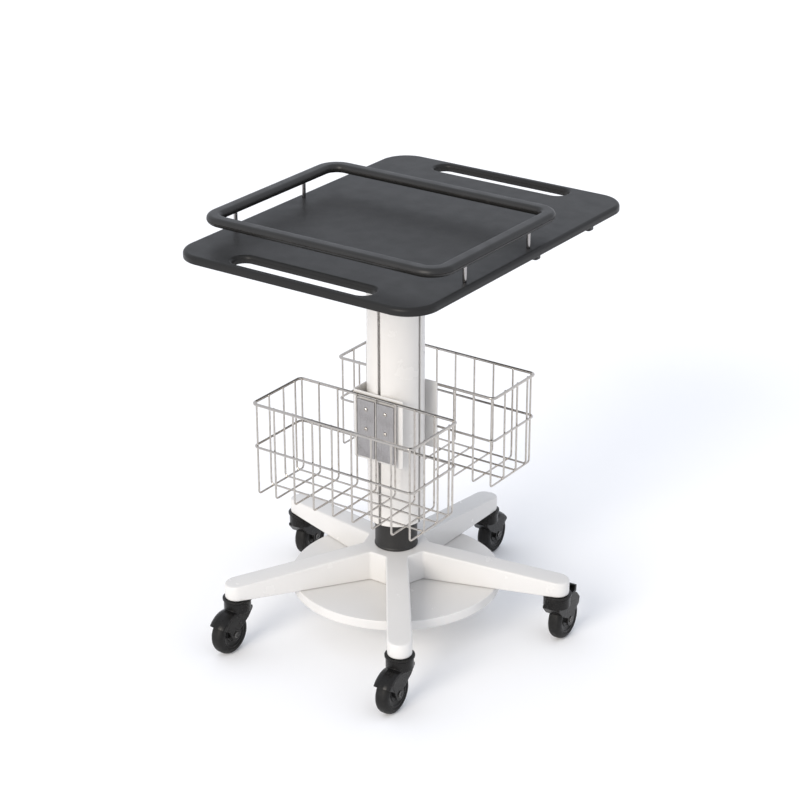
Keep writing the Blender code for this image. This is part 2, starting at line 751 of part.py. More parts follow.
def make_basket(cart, name, low_y, finish):
    """Rim, middle ring and two sets of U-shaped wires welded into one piece."""
    high_y = low_y + BASKET_DEPTH
    inset = ring_inset(RIM_WIRE)
    basket = tube(name, wire_loop(BASKET_HALF_WIDTH, low_y, high_y, BASKET_RIM_Z, RIM_BEND), RIM_WIRE, True)
    basket.data.materials.append(finish)
    ring_shift = inset - ring_inset(MID_WIRE)
    wires = bpy.data.collections.new(name + "_wires")
    bpy.context.scene.collection.children.link(wires)
    pieces = [
        tube(
            name + "_middle",
            wire_loop(
                BASKET_HALF_WIDTH - ring_shift,
                low_y + ring_shift,
                high_y - ring_shift,
                BASKET_MID_Z,
                RIM_BEND,
            ),
            MID_WIRE,
            True,
        )
    ]
    top = BASKET_RIM_Z + RIB_ABOVE_RIM
    for x in RIB_X:
        bend = bent_u((low_y + inset, high_y - inset), top, BASKET_FLOOR_Z, RIB_BEND)
        pieces.append(tube(name + "_rib", [(x, y, z) for y, z in bend], CAGE_WIRE))
    cross_floor = BASKET_FLOOR_Z + 2 * CAGE_WIRE - WIRE_BITE
    reach = BASKET_HALF_WIDTH - inset
    for offset in CROSS_RIB_OFFSETS:
        bend = bent_u((-reach, reach), top, cross_floor, RIB_BEND)
        y = low_y + offset
        pieces.append(tube(name + "_cross", [(x, y, z) for x, z in bend], CAGE_WIRE))
    for piece in pieces:
        hide_helper(piece)
        piece.parent = cart
        bpy.context.scene.collection.objects.unlink(piece)
        wires.objects.link(piece)
    weld = basket.modifiers.new("weld", "BOOLEAN")
    weld.operation = "UNION"
    weld.solver = "EXACT"
    weld.operand_type = "COLLECTION"
    weld.collection = wires
    attach(basket, cart)


# ---------------------------------------------------------------- casters


def tyre_profile():
    flat = WHEEL_HALF_WIDTH - TREAD_ROUND
    shoulder = WHEEL_RADIUS - TREAD_ROUND
    right = arc((shoulder, flat), TREAD_ROUND, 0.0, 90.0, 3)
    left = arc((shoulder, -flat), TREAD_ROUND, -90.0, 0.0, 3)
    return left + right + [(TYRE_BORE, WHEEL_HALF_WIDTH), (TYRE_BORE, -WHEEL_HALF_WIDTH)]


def hub_profile():
    outer = TYRE_BORE - GAP
    bore = AXLE_RADIUS + GAP
    dish = HUB_HALF_WIDTH - HUB_DISH
    rim = outer - HUB_RIM
    right = [(outer, HUB_HALF_WIDTH), (rim, HUB_HALF_WIDTH), (rim - HUB_SLOPE, dish)]
    right += [(HUB_BOSS_RADIUS + HUB_SLOPE, dish), (HUB_BOSS_RADIUS, HUB_HALF_WIDTH)]
    right.append((bore, HUB_HALF_WIDTH))
    return right + [(r, -x) for r, x in reversed(right)]


def both_sides(half):
    """A profile of (x, radius) points for one side, carried over to the other side."""
    return [(r, x) for x, r in half] + [(r, -x) for x, r in reversed(half)]


def hood_sector(start, end, steps):
    """The crowned hood as a solid sector about the axle, from start to end in degrees."""
    profile = both_sides([(HOOD_CROWN[0][0], HOOD_ROOT), *HOOD_CROWN])
    bm = bmesh.new()
    rings = []
    for step in range(steps + 1):
        turn = math.radians(start + (end - start) * step / steps)
        ring = [(x, TRAIL + r * math.cos(turn), WHEEL_RADIUS + r * math.sin(turn)) for r, x in profile]
        rings.append([bm.verts.new(point) for point in ring])
    for ring, following in zip(rings, rings[1:]):
        for i, corner in enumerate(ring):
            j = (i + 1) % len(ring)
            bm.faces.new((corner, ring[j], following[j], following[i]))
    bm.faces.new(rings[0])
    bm.faces.new(rings[-1])
    return bm


def fork_outline():
    """The fork's cheeks from the side, as (distance behind the swivel axis, height)."""
    axle = (TRAIL, WHEEL_RADIUS)
    top = arc(axle, HOOD_INSIDE[0][1], 50.0, 80.0, 2)
    return top + list(FORK_NOSE) + arc(axle, TONGUE_RADIUS, 150.0, 345.0, 6)


def make_fork(name, parent, finish, braked):
    fork = object_of(plate(fork_outline(), FORK_HALF_WIDTH), f"caster_fork_{name}", finish)
    round_edges(fork, FORK_EDGE, 1, 40.0)
    join(fork, hood_sector(HOOD_TIP_ANGLE, HOOD_END_ANGLE, 6))
    join(fork, cylinder(FORK_BODY_RADIUS, FORK_BODY_BOTTOM, FORK_TOP, WHEEL_STEPS))
    if braked:
        join(fork, plate(HOUSING_OUTLINE, HOUSING_HALF_WIDTH))
        wide = (-POCKET_HALF_WIDTH, POCKET_HALF_WIDTH)
        length = (POCKET_FRONT, POCKET_FRONT + POCKET_CUT)
        height = (POCKET_FLOOR, POCKET_FLOOR + POCKET_CUT)
        cut(fork, box(wide, length, height))
    inside = both_sides([(HOOD_INSIDE[0][0], 0.0), *HOOD_INSIDE])
    cut(fork, moved(along_x(turned(inside, WHEEL_STEPS)), y=TRAIL, z=WHEEL_RADIUS))
    hole = along_x(cylinder(AXLE_RADIUS + GAP, -CUT_REACH, CUT_REACH))
    cut(fork, moved(hole, y=TRAIL, z=WHEEL_RADIUS))
    cut(fork, cylinder(PIVOT_RADIUS + GAP, FORK_TOP - PIVOT_DEPTH - GAP, FORK_TOP + CUT_OVER, WHEEL_STEPS))
    if braked:
        pin = along_x(cylinder(PEDAL_PIN_RADIUS + GAP, -CUT_REACH, CUT_REACH, TINY_STEPS))
        cut(fork, moved(pin, y=PEDAL_PIVOT[0], z=PEDAL_PIVOT[1]))
    attach(fork, parent)
    return fork


def make_pedal(name, parent, finish):
    """A foot pedal in the pocket of the brake housing, turning on a pin in the housing's walls."""
    pivot_y, pivot_z = PEDAL_PIVOT
    outline = arc(PEDAL_PIVOT, PEDAL_NOSE, 90.0, 270.0, 6) + list(PEDAL_OUTLINE)
    outline = [(y - pivot_y, z - pivot_z) for y, z in outline]
    pedal = object_of(plate(outline, PEDAL_HALF_WIDTH), f"brake_pedal_{name}", finish)
    join(pedal, along_x(cylinder(PEDAL_PIN_RADIUS, -PEDAL_PIN_REACH, PEDAL_PIN_REACH, TINY_STEPS)))
    attach(pedal, parent, y=pivot_y, z=pivot_z)


def make_caster(cart, name, leg_angle, trail_angle, braked, finishes):
    turn = math.radians(leg_angle)
    x, y = CASTER_CIRCLE * math.cos(turn), CASTER_CIRCLE * math.sin(turn)
    swivel = bpy.data.objects.new(f"swivel_{name}", None)
    bpy.context.scene.collection.objects.link(swivel)
    attach(swivel, cart, x=x, y=y, turn=trail_angle - 90.0)

    low = CAP_TOP - CAP_THICK
    cap = [
        (0.0, low - PIVOT_DEPTH),
        (PIVOT_RADIUS, low - PIVOT_DEPTH),
        (PIVOT_RADIUS, low),
        (CAP_RADIUS - CAP_EDGE, low),
        (CAP_RADIUS, low + CAP_EDGE),
        (CAP_RADIUS, CAP_TOP),
        (STEM_RADIUS, CAP_TOP),
        (STEM_RADIUS, CAP_TOP + STEM_HEIGHT),
        (0.0, CAP_TOP + STEM_HEIGHT),
    ]
    attach(object_of(turned(cap, WHEEL_STEPS), f"caster_cap_{name}", finishes["caster"]), cart, x=x, y=y)
    fork = make_fork(name, swivel, finishes["caster"], braked)

    axle_half = FORK_HALF_WIDTH + GAP
    shaft = along_x(cylinder(AXLE_RADIUS, -axle_half - AXLE_BITE, axle_half + AXLE_BITE))
    axle = object_of(shaft, f"caster_axle_{name}", finishes["steel"])
    for side in (-1, 1):
        ends = sorted((side * axle_half, side * (axle_half + AXLE_HEAD_HEIGHT)))
        join(axle, along_x(cylinder(AXLE_HEAD_RADIUS, ends[0], ends[1], HEXAGON)))
    attach(axle, fork, y=TRAIL, z=WHEEL_RADIUS)

    tyre = object_of(along_x(turned(tyre_profile(), WHEEL_STEPS)), f"wheel_tyre_{name}", finishes["tyre"])
    attach(tyre, fork, y=TRAIL, z=WHEEL_RADIUS)
    hub = object_of(along_x(turned(hub_profile(), SMALL_STEPS)), f"wheel_hub_{name}", finishes["caster"])
    attach(hub, fork, y=TRAIL, z=WHEEL_RADIUS)
    if braked:
        make_pedal(name, fork, finishes["caster"])


# ---------------------------------------------------------------- the whole cart


def main():
    clear_scene()
    finishes = {
        "black_top": material("black_laminate", (0.040, 0.041, 0.044), 0.34),
        "rail": material("black_rail", (0.045, 0.045, 0.046), 0.40),
        "white": material("white_coating", (0.80, 0.78, 0.75), 0.38),
        "collar": material("black_collar", (0.035, 0.034, 0.033), 0.45),
        "steel": material("brushed_steel", (0.55, 0.54, 0.53), 0.32, 1.0),
        "wire": material("bright_wire", (0.62, 0.60, 0.58), 0.22, 1.0),
        "caster": material("black_nylon", (0.030, 0.029, 0.028), 0.42),
        "tyre": material("grey_black_tyre", (0.028, 0.027, 0.026), 0.55),
    }
    cart = bpy.data.objects.new("cart", None)
    bpy.context.scene.collection.objects.link(cart)
    cart.location = (0.0, COLUMN_Y, 0.0)

    make_worktop(cart, finishes["black_top"])
    make_guard_rail(cart, finishes["rail"])
    make_rail_posts(cart, finishes["steel"])
    make_battens(cart, finishes["rail"])
    make_top_plate(cart, finishes["steel"])
    make_column(cart, finishes["white"])
    make_collar(cart, finishes["collar"])
    make_inner_post(cart, finishes["steel"])
    make_star_base(cart, finishes["white"])
    make_ballast(cart, finishes["white"])
    make_centre_bolt(cart, finishes["steel"])
    make_bracket(cart, finishes["white"])
    make_slot_nuts(cart, finishes["steel"])
    make_clamps(cart, finishes["steel"], finishes["wire"])
    make_basket(cart, "basket_front", -BASKET_NEAR_Y - BASKET_DEPTH, finishes["wire"])
    make_basket(cart, "basket_rear", BASKET_NEAR_Y, finishes["wire"])
    for name, leg_angle, trail_angle, braked in CASTERS:
        make_caster(cart, name, leg_angle, trail_angle, braked, finishes)


main()
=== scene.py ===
"""The looks of a medication cart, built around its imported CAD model.

Units are metres, +Z is up and the floor is z = 0. Each piece takes its place and outer size from the CAD
node that it stands for, and adds what that plain solid leaves out: round wires, bends, soft edges,
grooves, recesses and surface finish."""

import math

import bmesh
import bpy
from mathutils import Matrix, Vector


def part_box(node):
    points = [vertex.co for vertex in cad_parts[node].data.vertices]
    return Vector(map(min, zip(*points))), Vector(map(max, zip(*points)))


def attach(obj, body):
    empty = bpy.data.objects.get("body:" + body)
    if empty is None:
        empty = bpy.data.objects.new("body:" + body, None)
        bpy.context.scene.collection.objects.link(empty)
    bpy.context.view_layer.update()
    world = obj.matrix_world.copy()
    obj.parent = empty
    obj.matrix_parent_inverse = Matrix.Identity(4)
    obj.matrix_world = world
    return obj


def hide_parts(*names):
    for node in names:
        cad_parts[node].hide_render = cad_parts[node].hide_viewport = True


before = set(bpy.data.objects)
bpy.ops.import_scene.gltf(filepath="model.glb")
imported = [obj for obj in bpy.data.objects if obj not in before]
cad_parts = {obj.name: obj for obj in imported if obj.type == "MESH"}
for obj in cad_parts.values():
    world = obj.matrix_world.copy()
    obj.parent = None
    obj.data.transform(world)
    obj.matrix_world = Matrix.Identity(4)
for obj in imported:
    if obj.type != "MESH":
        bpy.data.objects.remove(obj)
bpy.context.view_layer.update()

# ---------------------------------------------------------------- sizes that a node's box can't give

GAP = 0.0003                 # clearance between pieces that touch
CUT_OVER = 0.01              # how far a cutter reaches past the face that it opens
CUT_REACH = 0.03             # half length of a cutter that goes right across a fork
STEM_CUT = 0.005             # how far the stem bores' cutters reach below the legs
RECESS_CUT = 0.002           # how far a shallow recess's cutter reaches past the face

WORKTOP_CORNER = 0.050
WORKTOP_EDGE = 0.0060        # rounding of the top edges
WORKTOP_LOW_EDGE = 0.0012    # rounding of the lower edges
FACE_BORDER = 0.0008         # narrow flat border where an edge runs into a face
HANDLE_LENGTH = 0.256
HANDLE_WIDTH = 0.0368
HANDLE_INSET = 0.0334        # from the worktop's end to the middle of a handle slot
MERGE_DISTANCE = 0.000001

RAIL_CORNER = 0.040
RAIL_BAR_WIDTH = 0.024
RAIL_GROOVE_DEPTH = 0.0009
RAIL_GROOVE_HALF = 0.0008
POST_EDGE = 0.0006
BATTEN_CORNER = 0.0045
BATTEN_EDGE = 0.0018

SLOT_MOUTH = 0.0055
SLOT_LIP = 0.0028
SLOT_CHAMBER_WIDTH = 0.0110
SLOT_CHAMBER_DEPTH = 0.0052
SLOT_EASE = 0.0006           # rounding of the slot's mouth
COLUMN_BORE = 0.0365

NECK_RADIUS = 0.0348
NECK_FOOT = 0.0010           # how far the neck's foot stands out
NECK_FOOT_HEIGHT = 0.0030
NECK_FOOT_SLOPE = 0.0012
NECK_FLANGE = 0.0040         # height of the flange under the column
NECK_FLANGE_SLOPE = 0.0022
NECK_EDGE = 0.0010

LEG_COUNT = 5
FIRST_LEG = 90.0             # degrees, the leg that points to +Y
LEG_TOP_AT_HUB = 0.1435
LEG_TOP_AT_END = 0.1185
LEG_HALF_AT_HUB = 0.0185
LEG_HALF_AT_END = 0.0197
HUB_FLAT = 0.0500
LEG_EDGE = 0.0030
STEM_BORE = 0.0058
CENTRE_BORE = 0.0063
BALLAST_EDGE = 0.0016
BALLAST_STEPS = 160

BRACKET_THICK = 0.0022
BRACKET_BEND = 0.0046
SHEET_EDGE = 0.0007
CLAMP_CORNER = 0.0016
CLAMP_EDGE = 0.0005
SCREW_SHANK = 0.0020
SCREW_DOME = 0.0018          # height of the button head
SCREW_SHOULDER = 0.0004      # height of the head's straight side
SCREW_EDGE = 0.0004
SCREW_CROWN = ((0.86, 0.0006), (0.55, 0.0))  # (share of the radius, depth below the top)
SOCKET_RADIUS = 0.0013
SOCKET_DEPTH = 0.0011
HEXAGON = 6

BASKET_MID_Z = 0.3460
RIM_WIRE = 0.0025
MID_WIRE = 0.0020
CAGE_WIRE = 0.0016
WIRE_BITE = 0.0007
WELD_SHARE = 1.12            # weld bead radius over the wire's
RIB_X = (-0.147, -0.1125, -0.075, -0.0375, 0.0, 0.0375, 0.075, 0.1125, 0.147)
CROSS_RIB_OFFSETS = (0.039, 0.076, 0.107)
RIM_BEND = 0.0085
RIB_BEND = 0.0052
RIB_ABOVE_RIM = 0.0006       # how far the ribs' ends stand above the middle of the rim wire

FORK_HALF_WIDTH = 0.0155
FORK_BODY_RADIUS = 0.0222
FORK_BODY_BOTTOM = 0.0690
HOOD_CROWN = ((0.0151, 0.0345), (0.0144, 0.0362), (0.0100, 0.0384), (0.0050, 0.0397))
HOOD_INSIDE = ((0.0128, 0.0325), (0.0100, 0.0350), (0.0050, 0.0368))
HOOD_ROOT = 0.009            # radius at which the hood's solid sector starts
HOOD_TIP_ANGLE = 33.0
HOOD_ROOT_ANGLE = 105.0
TONGUE_RADIUS = 0.0110
FORK_NOSE = ((-0.0195, 0.0725), (-0.0200, 0.0680), (-0.0085, 0.0545))
AXLE_BORE = 0.0048
PIVOT_BORE = 0.0063
PIVOT_DEPTH = 0.0103
MELT_VOXEL = 0.00045
MELT_PASSES = 5
MELT_SHARE = 0.30            # share of the faces that are kept
HOUSING_OUTLINE = (
    (0.0180, 0.0850),
    (0.0180, 0.0650),
    (0.0360, 0.0560),
    (0.0500, 0.0545),
    (0.0527, 0.0646),
    (0.0417, 0.0773),
    (0.0300, 0.0835),
)
HOUSING_HALF_WIDTH = 0.0153
POCKET_FRONT = 0.0290
POCKET_FLOOR = 0.0745
POCKET_HALF_WIDTH = 0.0128
POCKET_BACK = 0.08           # where the pocket's cutter ends, behind the housing
POCKET_TOP = 0.10            # and above it
PEDAL_PIVOT = (0.0330, 0.0785)
PEDAL_NOSE = 0.0032
PEDAL_OUTLINE = ((0.0450, 0.0772), (0.0458, 0.0893), (0.0395, 0.0905), (0.0385, 0.0822))
PEDAL_HALF_WIDTH = 0.0125
PEDAL_EDGE = 0.0009
PEDAL_PIN_RADIUS = 0.0016
PEDAL_PIN_HALF = 0.0146

TYRE_BORE = 0.0245
TYRE_HALF_WIDTH = 0.0118
TREAD_ROUND = 0.0090
TYRE_BEAD = ((0.0016, 0.0001), (0.0010, 0.0008))  # (outside the bore, inside the wall)
HUB_HALF_WIDTH = 0.0108
HUB_FLANGE = 0.0022          # width of the outer flange, and depth of the first step
HUB_FLANGE_SLOPE = 0.0012
HUB_DISH = 0.0034            # depth of the dish
HUB_RING = ((0.0150, 0.0034), (0.0142, 0.0022), (0.0128, 0.0022), (0.0120, 0.0034))
HUB_BOSS = (0.0086, 0.0080)  # radius of the boss at its foot and at its face
HUB_EDGE = 0.0004
AXLE_RADIUS = 0.0045
AXLE_HEAD_RADIUS = 0.0058
AXLE_HEAD_HEIGHT = 0.0012
AXLE_RECESS_RADIUS = 0.0040
AXLE_RECESS_DEPTH = 0.0009
AXLE_BITE = 0.0008           # how far inside the ends the shaft itself stops
AXLE_OUTSIDE = 0.0015        # how far the axle stands out of the fork
AXLE_EDGE = 0.0003
CAP_THICK = 0.0044
CAP_PIVOT_RADIUS = 0.0060
CAP_STEM_RADIUS = 0.0055
CAP_UNDERCUT = 0.0018        # how far the cap's lower edge is set back
CAP_UNDERCUT_HEIGHT = 0.0010
CAP_EDGE = 0.0005
CASTER_NAMES = ("rear", "right", "front_right", "front_left", "left")
BRAKED = ("right", "left")

FINE = 96                    # steps round a large circle
SMALL = 32                   # steps round a small one
SHARP_ANGLE = math.radians(32.0)


# ---------------------------------------------------------------- making meshes


def place_of(node):
    """Lowest corner, highest corner and middle of a CAD node."""
    low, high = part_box(node)
    return low, high, (low + high) / 2


def arc(centre, radius, start, end, steps):
    """Points on an arc in a plane, from start to end in degrees."""
    angles = [math.radians(start + (end - start) * i / steps) for i in range(steps + 1)]
    return [(centre[0] + radius * math.cos(a), centre[1] + radius * math.sin(a)) for a in angles]


def rounded_rectangle(low, high, radius, steps):
    """The outline of a rectangle with round corners between two (x, y) corners, anticlockwise."""
    points = []
    for quarter, (x, y) in enumerate(((1, 1), (0, 1), (0, 0), (1, 0))):
        centre = (
            (high[0] - radius) if x else (low[0] + radius),
            (high[1] - radius) if y else (low[1] + radius),
        )
        points += arc(centre, radius, 90.0 * quarter, 90.0 * (quarter + 1), steps)
    return [p for i, p in enumerate(points) if math.dist(p, points[i - 1]) > MERGE_DISTANCE]


def prism(outline, low, high):
    bm = bmesh.new()
    base = bm.faces.new([bm.verts.new((x, y, low)) for x, y in outline])
    extruded = bmesh.ops.extrude_face_region(bm, geom=[base])
    top = [v for v in extruded["geom"] if isinstance(v, bmesh.types.BMVert)]
    bmesh.ops.translate(bm, vec=(0.0, 0.0, high - low), verts=top)
    return bm


def plate(outline, half_width):
    """An outline given as (y, z), extruded along X to both sides."""
    bm = prism(outline, -half_width, half_width)
    turn = Matrix(((0, 0, 1, 0), (1, 0, 0, 0), (0, 1, 0, 0), (0, 0, 0, 1)))
    bmesh.ops.transform(bm, matrix=turn, verts=bm.verts)
    return bm


def ring_strip(rings, closed=True):
    """Faces between each ring of points and the next, and ends where the strip is open."""
    bm = bmesh.new()
    loops = [[bm.verts.new(point) for point in ring] for ring in rings]
    following = loops[1:] + (loops[:1] if closed else [])
    for ring, after in zip(loops, following):
        for i, corner in enumerate(ring):
            j = (i + 1) % len(ring)
            bm.faces.new((corner, ring[j], after[j], after[i]))
    if not closed:
        bm.faces.new(loops[0])
        bm.faces.new(loops[-1])
    return bm


def turned(profile, steps=FINE):
    """A closed profile of (radius, height) points, turned about Z."""
    bm = bmesh.new()
    corners = [bm.verts.new((r, 0.0, z)) for r, z in profile]
    edges = [bm.edges.new((a, b)) for a, b in zip(corners, corners[1:] + corners[:1])]
    bmesh.ops.spin(
        bm,
        geom=corners + edges,
        cent=(0.0, 0.0, 0.0),
        axis=(0.0, 0.0, 1.0),
        angle=2.0 * math.pi,
        steps=steps,
        use_merge=True,
    )
    bmesh.ops.remove_doubles(bm, verts=bm.verts, dist=MERGE_DISTANCE)
    return bm


def cylinder(radius, low, high, steps=SMALL):
    return prism(arc((0.0, 0.0), radius, 0.0, 360.0 - 360.0 / steps, steps - 1), low, high)


def box(x_range, y_range, z_range):
    outline = [(x_range[0], y_range[0]), (x_range[1], y_range[0])]
    outline += [(x_range[1], y_range[1]), (x_range[0], y_range[1])]
    return prism(outline, *z_range)


def along_x(bm):
    bmesh.ops.transform(bm, matrix=Matrix.Rotation(math.radians(90.0), 4, "Y"), verts=bm.verts)
    return bm


def along_y(bm):
    bmesh.ops.transform(bm, matrix=Matrix.Rotation(math.radians(-90.0), 4, "X"), verts=bm.verts)
    return bm


def moved(bm, x=0.0, y=0.0, z=0.0):
    bmesh.ops.translate(bm, vec=(x, y, z), verts=bm.verts)
    return bm


def rounded_profile(corners, radius, steps=4):
    """A closed profile of (radius, height) corners with each corner off the axis rounded."""
    points = []
    count = len(corners)
    for i, corner in enumerate(corners):
        here = Vector(corner)
        before = Vector(corners[i - 1]) - here
        after = Vector(corners[(i + 1) % count]) - here
        reach = min(radius, before.length * 0.45, after.length * 0.45)
        if here.x < 1e-6 or reach < 1e-5:
            points.append(tuple(here))
            continue
        first = here + before.normalized() * reach
        last = here + after.normalized() * reach
        for step in range(steps + 1):
            t = step / steps
            spot = first * (1 - t) ** 2 + here * 2 * t * (1 - t) + last * t * t
            points.append(tuple(spot))
    return points


def object_of(bm, name):
    bmesh.ops.recalc_face_normals(bm, faces=bm.faces)
    mesh = bpy.data.meshes.new(name)
    bm.to_mesh(mesh)
    bm.free()
    made = bpy.data.objects.new(name, mesh)
    bpy.context.scene.collection.objects.link(made)
    return made


def settle(target):
    """Applies the object's modifiers to its mesh."""
    bpy.context.view_layer.update()
    evaluated = target.evaluated_get(bpy.context.evaluated_depsgraph_get())
    mesh = bpy.data.meshes.new_from_object(evaluated)
    target.modifiers.clear()
    target.data = mesh


def combine(target, bm, operation):
    helper = object_of(bm, target.name + "_helper")
    change = target.modifiers.new("change", "BOOLEAN")
    change.operation = operation
    change.solver = "EXACT"
    change.object = helper
    settle(target)
    bpy.data.objects.remove(helper, do_unlink=True)


def cut(target, bm):
    combine(target, bm, "DIFFERENCE")


def join(target, bm):
    combine(target, bm, "UNION")


def round_edges(target, width, segments, angle=40.0):
    bevel = target.modifiers.new("edges", "BEVEL")
    bevel.width = width
    bevel.segments = segments
    bevel.limit_method = "ANGLE"
    bevel.angle_limit = math.radians(angle)
    bevel.miter_outer = "MITER_ARC"
    settle(target)


def melt(target, voxel, passes, share):
    """Remeshes a moulding so that all its parts flow together with soft edges."""
    remesh = target.modifiers.new("remesh", "REMESH")
    remesh.mode = "VOXEL"
    remesh.voxel_size = voxel
    smooth = target.modifiers.new("smooth", "SMOOTH")
    smooth.factor = 0.5
    smooth.iterations = passes
    thin = target.modifiers.new("thin", "DECIMATE")
    thin.ratio = share
    settle(target)


def present(target, body, slot, finish, *nodes, smooth_all=False):
    """Gives a piece its finish and its body, and hides the CAD nodes that it stands for."""
    target.data.materials.clear()
    target.data.materials.append(finish)
    target.data.shade_smooth()
    if not smooth_all:
        target.data.set_sharp_from_angle(angle=SHARP_ANGLE)
    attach(target, body)
    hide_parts(*nodes)
    return target


# ---------------------------------------------------------------- finishes


def add(tree, kind, inputs=None, **settings):
    """A shader node with its settings, and its inputs set to numbers or linked to sockets."""
    made = tree.nodes.new(kind)
    for key, value in settings.items():
        setattr(made, key, value)
    for key, value in (inputs or {}).items():
        if isinstance(value, bpy.types.NodeSocket):
            tree.links.new(value, made.inputs[key])
        else:
            made.inputs[key].default_value = value
    return made


def noise(tree, scale, detail=3.0, stretch=(1.0, 1.0, 1.0)):
    """Noise in the piece's own coordinates, with its scale in cells per metre."""
    where = add(tree, "ShaderNodeTexCoord").outputs["Object"]
    mapped = add(tree, "ShaderNodeMapping", {"Vector": where, "Scale": stretch}).outputs["Vector"]
    inputs = {"Vector": mapped, "Scale": scale, "Detail": detail, "Roughness": 0.55}
    return add(tree, "ShaderNodeTexNoise", inputs).outputs["Fac"]


def remap(tree, value, source, target):
    inputs = {"Value": value, "From Min": source[0], "From Max": source[1]}
    inputs.update({"To Min": target[0], "To Max": target[1]})
    return add(tree, "ShaderNodeMapRange", inputs).outputs["Result"]


def blend_colour(tree, share, first, second):
    made = add(tree, "ShaderNodeMix", data_type="RGBA")
    tree.links.new(share, made.inputs["Factor"])
    for socket, value in ((made.inputs["A"], first), (made.inputs["B"], second)):
        if isinstance(value, bpy.types.NodeSocket):
            tree.links.new(value, socket)
        else:
            socket.default_value = (*value, 1.0)
    return made.outputs["Result"]


def product(tree, first, second):
    made = add(tree, "ShaderNodeMath", operation="MULTIPLY")
    for socket, value in zip(made.inputs, (first, second)):
        if isinstance(value, bpy.types.NodeSocket):
            tree.links.new(value, socket)
        else:
            socket.default_value = value
    return made.outputs["Value"]


def edge_mask(tree, radius):
    """1 along convex and concave edges narrower than the radius, 0 on open faces."""
    soft = add(tree, "ShaderNodeBevel", {"Radius": radius}, samples=4).outputs["Normal"]
    plain = add(tree, "ShaderNodeNewGeometry").outputs["Normal"]
    inputs = {0: soft, 1: plain}
    dot = add(tree, "ShaderNodeVectorMath", inputs, operation="DOT_PRODUCT").outputs["Value"]
    return remap(tree, dot, (0.80, 0.985), (1.0, 0.0))


def material(name, roughness, metallic=0.0):
    made = bpy.data.materials.new(name)
    made.use_nodes = True
    shader = made.node_tree.nodes["Principled BSDF"]
    shader.inputs["Roughness"].default_value = roughness
    shader.inputs["Metallic"].default_value = metallic
    return made, made.node_tree, shader


def dress(tree, shader, colour, roughness, height, depth):
    """Links a colour, a roughness and a bump of that depth in metres to the shader."""
    tree.links.new(colour, shader.inputs["Base Color"])
    tree.links.new(roughness, shader.inputs["Roughness"])
    bump = add(tree, "ShaderNodeBump", {"Height": height, "Distance": depth, "Strength": 1.0})
    tree.links.new(bump.outputs["Normal"], shader.inputs["Normal"])


def moulded(name, dark, light, worn, gloss, grain, depth, sheen):
    """Moulded or laminated black: fine grain, faint cloudiness and edges polished by handling."""
    made, tree, shader = material(name, gloss[0])
    shader.inputs["Specular IOR Level"].default_value = sheen
    clouds = remap(tree, noise(tree, 14.0, 4.0), (0.35, 0.65), (0.0, 1.0))
    speckle = noise(tree, grain * 2.2, 2.0)
    colour = blend_colour(tree, clouds, dark, light)
    patches = remap(tree, noise(tree, 90.0), (0.42, 0.62), (0.1, 0.8))
    rubbed = product(tree, edge_mask(tree, 0.0011), patches)
    colour = blend_colour(tree, rubbed, colour, worn)
    roughness = remap(tree, noise(tree, 38.0, 5.0), (0.3, 0.7), gloss)
    dress(tree, shader, colour, roughness, speckle, depth)
    return made


def coated(name, white, shade, gloss, streaks=None):
    """Powder coat: orange peel, a faint change of tone, and a grey that marks the convex edges as scuffs
    and thin coat and also darkens the concave creases as painted shade.
    """
    made, tree, shader = material(name, gloss[0])
    clouds = remap(tree, noise(tree, 7.0, 3.0), (0.3, 0.7), (0.0, 1.0))
    colour = blend_colour(tree, clouds, white, shade)
    # Painted shade as well as wear: the edge mask also takes in concave creases and corners, so the grey
    # below darkens the hollows where shade falls, besides scuffing the convex edges.
    patches = remap(tree, noise(tree, 60.0), (0.5, 0.7), (0.0, 0.35))
    scuffs_and_crease_shade = product(tree, edge_mask(tree, 0.0012), patches)
    colour = blend_colour(tree, scuffs_and_crease_shade, colour, (0.52, 0.50, 0.47))
    peel = noise(tree, 850.0, 2.0)
    if streaks:
        peel = product(tree, peel, noise(tree, 1500.0, 2.0, streaks))
    roughness = remap(tree, noise(tree, 25.0, 5.0), (0.3, 0.7), gloss)
    dress(tree, shader, colour, roughness, peel, 0.00003)
    return made


def metal(name, bright, dull, gloss, stretch, scale, depth, anisotropy=0.0):
    """Drawn or brushed metal, with the brush marks along the axis that isn't stretched."""
    made, tree, shader = material(name, gloss[0], 1.0)
    shader.inputs["Anisotropic"].default_value = anisotropy
    lines = noise(tree, scale, 3.0, stretch)
    marks = remap(tree, lines, (0.25, 0.75), (0.0, 1.0))
    stains = remap(tree, noise(tree, 45.0, 4.0), (0.4, 0.7), (0.0, 0.25))
    colour = blend_colour(tree, marks, bright, dull)
    colour = blend_colour(tree, stains, colour, dull)
    roughness = remap(tree, lines, (0.25, 0.75), gloss)
    dress(tree, shader, colour, roughness, lines, depth)
    return made


def rubber(name):
    """Tyre: dark and dull, with dust in the grain."""
    made, tree, shader = material(name, 0.5)
    shader.inputs["Specular IOR Level"].default_value = 0.22
    dust = remap(tree, noise(tree, 120.0, 5.0), (0.45, 0.7), (0.0, 0.55))
    colour = blend_colour(tree, dust, (0.0085, 0.0082, 0.0078), (0.022, 0.021, 0.0195))
    roughness = remap(tree, noise(tree, 70.0, 5.0), (0.3, 0.7), (0.42, 0.62))
    dress(tree, shader, colour, roughness, noise(tree, 1400.0, 3.0), 0.00006)
    return made


